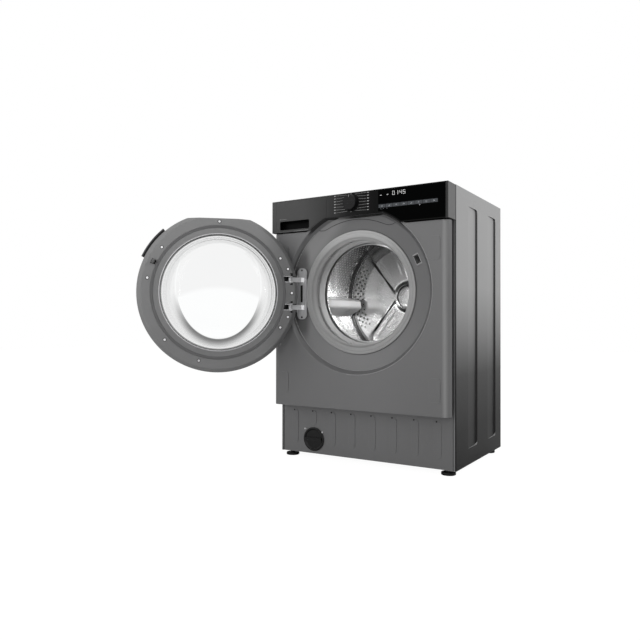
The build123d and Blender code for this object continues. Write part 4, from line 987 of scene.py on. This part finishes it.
# each sign is made of dashes: across, up, width, height
signs = {
    "ring": [(2.1 * cos(tau * k / 8), 2.1 * sin(tau * k / 8), 1.4, 0.8) for k in range(8)],
    "steps": [(2.1 * k - 2.0, 0.65 * k - 1.5, 1.2, 1.8 + 1.3 * k) for k in range(3)],
    "cross": [(0, 0, 5.6, 0.9), (0, 0, 0.9, 4.8)], "pair": [(-1.6, 0, 1.2, 4.4), (1.4, 0, 2.4, 2.6)]
}
stripSizes = {
    "left": 84.0, "right": 266.6, "low": 765.0, "high": 775.0, "gap": 0.5, "lift": 0.12,
    "fields": "ring steps cross pair steps cross ring pair".split(),
    "star": ((212.6, 762.5, 4.8, 1.0), (212.6, 762.4, 1.2, 4.4)), "dots": (92.0, 99.8, 111.4),
    "dotHeight": 762.2, "dotRadius": 0.8
}


def makeTouchStrip():
    s = stripSizes
    back, marks = bmesh.new(), bmesh.new()
    step = (s["right"] - s["left"]) / len(s["fields"])
    middle = (s["low"] + s["high"]) / 2
    for i, sign in enumerate(s["fields"]):
        x = s["left"] + (i + 0.5) * step
        dash(back, x, middle, step - 2 * s["gap"], s["high"] - s["low"])
        for across, upward, wide, high in signs[sign]:
            dash(marks, x + across, middle + upward, wide, high, s["lift"])
    for place in s["star"]:
        dash(marks, *place)
    for x in s["dots"]:
        dot(marks, x, s["dotHeight"], s["dotRadius"], 16)
    publish(back, "touchFields", "cabinet", "display_black", inks["stripInk"])
    publish(marks, "touchSymbols", "cabinet", "display_black", inks["symbolInk"])


drawerMarks = {
    "spans": ((-268, -262), (-260.5, -257), (-255.5, -248), (-246.5, -242)), "heights": (760.4, 761.6),
    "gripLow": (-213, -55.75, 720.2), "gripHigh": (-160, -55.0, 722.2), "gripBevel": 0.2
}


def makeDrawerMarks():
    s = drawerMarks
    work, edge = bmesh.new(), bmesh.new()
    for span in s["spans"]:
        bar(work, *span, *s["heights"])
    # a pale strip along the rail under the grip: painted highlight
    block(edge, s["gripLow"], s["gripHigh"], bevel=s["gripBevel"])
    publish(work, "drawerMarks", "drawer", "fascia_black", inks["faintInk"])
    publish(edge, "gripEdge", "cabinet", "door_grey")


knobMark = {"left": -8.0, "right": -6.0, "low": 805.5, "high": 811.5, "proud": 0.15, "sunk": 0.3, "bevel": 0.25}


def makeKnobMark():
    s = knobMark
    work = bmesh.new()
    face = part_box("program_knob")[0].y * 1000
    block(work, (s["left"], face - s["proud"], s["low"]), (s["right"], face + s["sunk"], s["high"]),
          bevel=s["bevel"])
    publish(work, "knobMark", "knob", "knob_metal", inks["faintInk"])


kickSizes = {
    "screws": ((-205.0, 92.5), (-140.4, 85.8)), "screwRadius": 2.6, "slot": (1.8, 0.3), "slotTurn": 35.0,
    "slotBevel": 0.1, "plugs": 8, "plugPitch": 69.6, "plugShift": -3.0, "plugHeight": 150.4, "plugRadius": 2.3
}


def makeKickDetails():
    s = kickSizes
    screws, plugs = bmesh.new(), bmesh.new()
    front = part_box("kick_panel")[0].y * 1000
    long, thick = s["slot"]
    for x, z in s["screws"]:
        disc(screws, x, front - 1.2, front + 0.6, z, s["screwRadius"], 24)
        block(screws, (x - long, front - 1.6, z - thick), (x + long, front - 1.0, z + thick),
              radians(s["slotTurn"]), s["slotBevel"])
    # black discs at the holes in the rib tops: painted shade for the holes
    for i in range(s["plugs"]):
        x = (i - (s["plugs"] - 1) / 2) * s["plugPitch"] + s["plugShift"]
        disc(plugs, x, front - 0.5, front + 0.6, s["plugHeight"], s["plugRadius"], 20)
    publish(screws, "kickScrews", "cabinet", "screw_steel")
    publish(plugs, "kickPlugs", "cabinet", "cap_black")


# Thin round lines on the front panel
def ringPoint(radius, face, angle):
    turn = radians(angle)
    return Vector((radius * cos(turn), face, axisHeight * 1000 + radius * sin(turn))) / 1000


def tube(name, points, radius, slotName, material):
    curve = bpy.data.curves.new(name + "Line", "CURVE")
    curve.dimensions = "3D"
    curve.bevel_depth, curve.bevel_resolution, curve.use_fill_caps = radius, 2, True
    spline = curve.splines.new("POLY")
    spline.points.add(len(points) - 1)
    for spot, point in zip(spline.points, points):
        spot.co = (*point, 1)
    held = placed(name + "Line", curve)
    drawn = bpy.data.meshes.new_from_object(held.evaluated_get(bpy.context.evaluated_depsgraph_get()))
    work = bmesh.new()
    work.from_mesh(drawn)
    for old, store in ((held, bpy.data.objects), (curve, bpy.data.curves), (drawn, bpy.data.meshes)):
        store.remove(old)
    publish(work, name, "cabinet", slotName, material, crease=60)


# dark for the visor's seam; on the notch strip and the door's screw wells it is painted shade
seamAndShadeLook = plastic("seamDark", grey(0.02), 0.6)
seamSizes = {
    "thick": 0.0008, "steps": 6, "inner": 187.0, "face": -20.6, "slope": 10.5 / 49, "path": [(237, 57.4),
    (233, 58.0), (228, 59.0), (221.5, 61.2), (218.5, 64.0), (217.6, 67.5), (218.2, 76.0), (219.5, 88.0),
    (221.0, 102.0), (222.8, 112.0), (223.8, 118.0), (226.0, 121.0), (232, 123.4), (238.5, 124.8)]
}


def makeVisorSeam():
    # along the dish's slope, through (radius, angle) points
    s = seamSizes
    points = []
    for (r0, a0), (r1, a1) in zip(s["path"], s["path"][1:]):
        for k in range(s["steps"]):
            radius, angle = r0 + (r1 - r0) * k / s["steps"], a0 + (a1 - a0) * k / s["steps"]
            points.append(ringPoint(radius, s["face"] - (radius - s["inner"]) * s["slope"], angle))
    tube("visorSeam", points, s["thick"], "front_paint", seamAndShadeLook)


# paler paint for the dish's edge beads: a painted highlight
rimHighlightLook = paintedSteel("rimPaint", grey(0.3, 0.003), 0.35, 0.1)
rimSizes = {
    "recessRimOuter": (247.8, -49.0, -96, 51), "recessRimInner": (236.6, -31.6, 129, 305), "step": 3,
    "thick": 0.0009
}


def arcLine(radius, face, first, last, step):
    return [ringPoint(radius, face, angle) for angle in range(first, last + 1, step)]


def makeRecessRims():
    # pale beads along parts of the dish's edge; their pale paint is a painted highlight
    for name in ("recessRimOuter", "recessRimInner"):
        tube(name, arcLine(*rimSizes[name], rimSizes["step"]), rimSizes["thick"], "front_paint", rimHighlightLook)


notchSizes = {"radius": 247.0, "face": -51.6, "thick": 0.0014, "from": 52, "to": 67}


def makeNotchShadow():
    # painted shadow: a black strip along the panel's notch over the door
    s = notchSizes
    right = arcLine(s["radius"], s["face"], s["from"], s["to"], 1)
    left = [Vector((-p.x, p.y, p.z)) for p in right[::-1]]
    tube("notchSeal", right + left, s["thick"], "fascia_black", seamAndShadeLook)


# Hinge plate and the door's screws
hingeSizes = {
    "x": -201.0, "screwZ": 74.5, "screwRadius": 3.0, "slotHalf": 27.0, "slotLeft": 5.0, "slotRight": 3.0,
    "slotBevel": 0.2, "plateFace": -27.4, "proud": 0.5, "sunk": 0.3
}


def makeHingeDetails():
    # dark screw heads and the dark slot of the hinge plate
    s = hingeSizes
    work = bmesh.new()
    middle = axisHeight * 1000
    front, back = s["plateFace"] - s["proud"], s["plateFace"] + s["sunk"]
    for side in (-1, 1):
        disc(work, s["x"], front, back, middle + side * s["screwZ"], s["screwRadius"], 20)
    block(work, (s["x"] - s["slotLeft"], front, middle - s["slotHalf"]),
          (s["x"] + s["slotRight"], back, middle + s["slotHalf"]), bevel=s["slotBevel"])
    publish(work, "hingeDetails", "cabinet", "cap_black")


wellSizes = {
    "face": -34.0, "proud": 0.2, "sunk": 0.3, "radius": 5.6, "spots": [(215, 90), (215.5, 38), (215.5, 11),
    (215.5, -41.7), (215.5, -73.6), (215, 150.2), (223, 160.5), (222.5, 180), (223, -160.5), (215, -150.2)]
}
pocketShadeSizes = {
    "left": -225.2, "right": -218.6, "half": 3.3, "proud": 0.4, "sunk": 1.4, "bevel": 0.4,
    "heights": (56.0, 28.6, -28.6, -58.0)
}


def makeDoorWells():
    # painted shade: dark rings round the door's screws, at (radius, angle), for the shade in their wells, and
    # dark blocks by the hinge slots for the shade in the pockets there
    s, c = wellSizes, pocketShadeSizes
    wellShades, pocketShades = bmesh.new(), bmesh.new()
    for radius, angle in s["spots"]:
        turn = radians(angle)
        disc(wellShades, radius * cos(turn), s["face"] - s["proud"], s["face"] + s["sunk"],
             radius * sin(turn), s["radius"])
    for z in c["heights"]:
        block(pocketShades, (c["left"], s["face"] - c["proud"], z - c["half"]),
              (c["right"], s["face"] + c["sunk"], z + c["half"]), bevel=c["bevel"])
    publish(wellShades, "screwWells", "door", "door_grey", seamAndShadeLook, place=doorOpen)
    publish(pocketShades, "hingeCaps", "door", "cap_black", place=doorOpen)


makeVisorSeam()
makeRecessRims()
makeNotchShadow()
makeHingeDetails()
makeDoorWells()
makeLabels()
makeDigits()
makeTouchStrip()
makeDrawerMarks()
makeKnobMark()
makeKickDetails()
print("front prints done")


# Floor, world and lamps
stageSizes = {
    "floorHalf": 9.0, "floorShades": (0.8, 0.83), "grainScale": 30.0, "glow": 1.12, "glowShare": 0.86,
    "worldLight": 0.42
}
lamps = {  # place, target, size, watts, spread in degrees
    "softLeft": ((-1.7, -2.4, 2.1), (0, 0, 0.5), (1.8, 1.8), 16, 180),
    "softFront": ((0.25, -2.6, 0.75), (0, 0.3, 0.5), (0.9, 0.9), 12, 180),
    "softRight": ((2.6, 0.5, 2.0), (0.3, 0.2, 0.7), (1.6, 1.2), 22, 180),
    "softDrum": ((0.04, 0.056, 0.6), (-0.12, 0.3, 0.38), (0.16, 0.08), 0.34, 125),
}


def seenBy(look, *names):
    # 1 for the kinds of ray that are named
    outputs = look.add("LightPath", {}, {}).socket.node.outputs
    seen = Wire(look, outputs[names[0]])
    for name in names[1:]:
        seen = seen.most(Wire(look, outputs[name]))
    return seen


def makeFloor():
    s = stageSizes
    work = bmesh.new()
    bmesh.ops.create_grid(work, x_segments=1, y_segments=1, size=s["floorHalf"])
    floor = placed("floor", meshFrom(work, "floor"))
    look = Look("floorPaint")
    grain = look.noise(s["grainScale"])
    white = look.add("BsdfDiffuse", {}, {"Color": look.mix(grain, *s["floorShades"])})
    glow = look.add("Emission", {}, {"Color": 1.0, "Strength": s["glow"]})
    seen = seenBy(look, "Is Camera Ray", "Is Transmission Ray") * s["glowShare"]
    look.add("OutputMaterial", {}, {"Surface": look.add("MixShader", {}, {0: seen, 1: white, 2: glow})})
    floor.data.materials.append(look.material)


def makeWorld():
    world = bpy.data.worlds.new("studio")
    bpy.context.scene.world = world
    world.use_nodes = True
    look = Look("studio", world.node_tree)
    light = stageSizes["worldLight"]
    strength = seenBy(look, "Is Camera Ray", "Is Glossy Ray", "Is Transmission Ray") * (1 - light) + light
    background = look.add("Background", {}, {"Color": 1.0, "Strength": strength})
    look.add("OutputWorld", {}, {"Surface": background})


def makeLamp(name, place, target, size, watts, spread):
    lamp = bpy.data.lights.new(name, "AREA")
    lamp.shape = "RECTANGLE"
    lamp.size, lamp.size_y = size
    lamp.energy = watts
    lamp.spread = radians(spread)
    held = placed(name, lamp)
    held.location = place
    held.rotation_mode = "QUATERNION"
    held.rotation_quaternion = (Vector(target) - Vector(place)).to_track_quat("-Z", "Y")


# Camera, solved from the cabinet's edges
cameraFacts = {
    "place": (0.9087, -1.6963, 0.4258), "turn": 31.974, "pitch": 0.4308, "roll": 0.0694, "lens": 35.446,
    "sensor": 36.0
}


def makeCamera():
    s = cameraFacts
    data = bpy.data.cameras.new("camera")
    data.lens = s["lens"]
    data.sensor_width = s["sensor"]
    data.sensor_fit = "HORIZONTAL"
    held = placed("camera", data)
    turn, pitch, roll = (radians(s[key]) for key in ("turn", "pitch", "roll"))
    held.matrix_world = (Matrix.Translation(s["place"]) @ Matrix.Rotation(turn, 4, "Z")
                         @ Matrix.Rotation(pi / 2 + pitch, 4, "X") @ Matrix.Rotation(roll, 4, "Z"))
    bpy.context.scene.camera = held


makeFloor()
makeWorld()
for name, facts in lamps.items():
    makeLamp(name, *facts)
makeCamera()
bpy.context.scene.view_settings.view_transform = "Standard"
print("stage done")
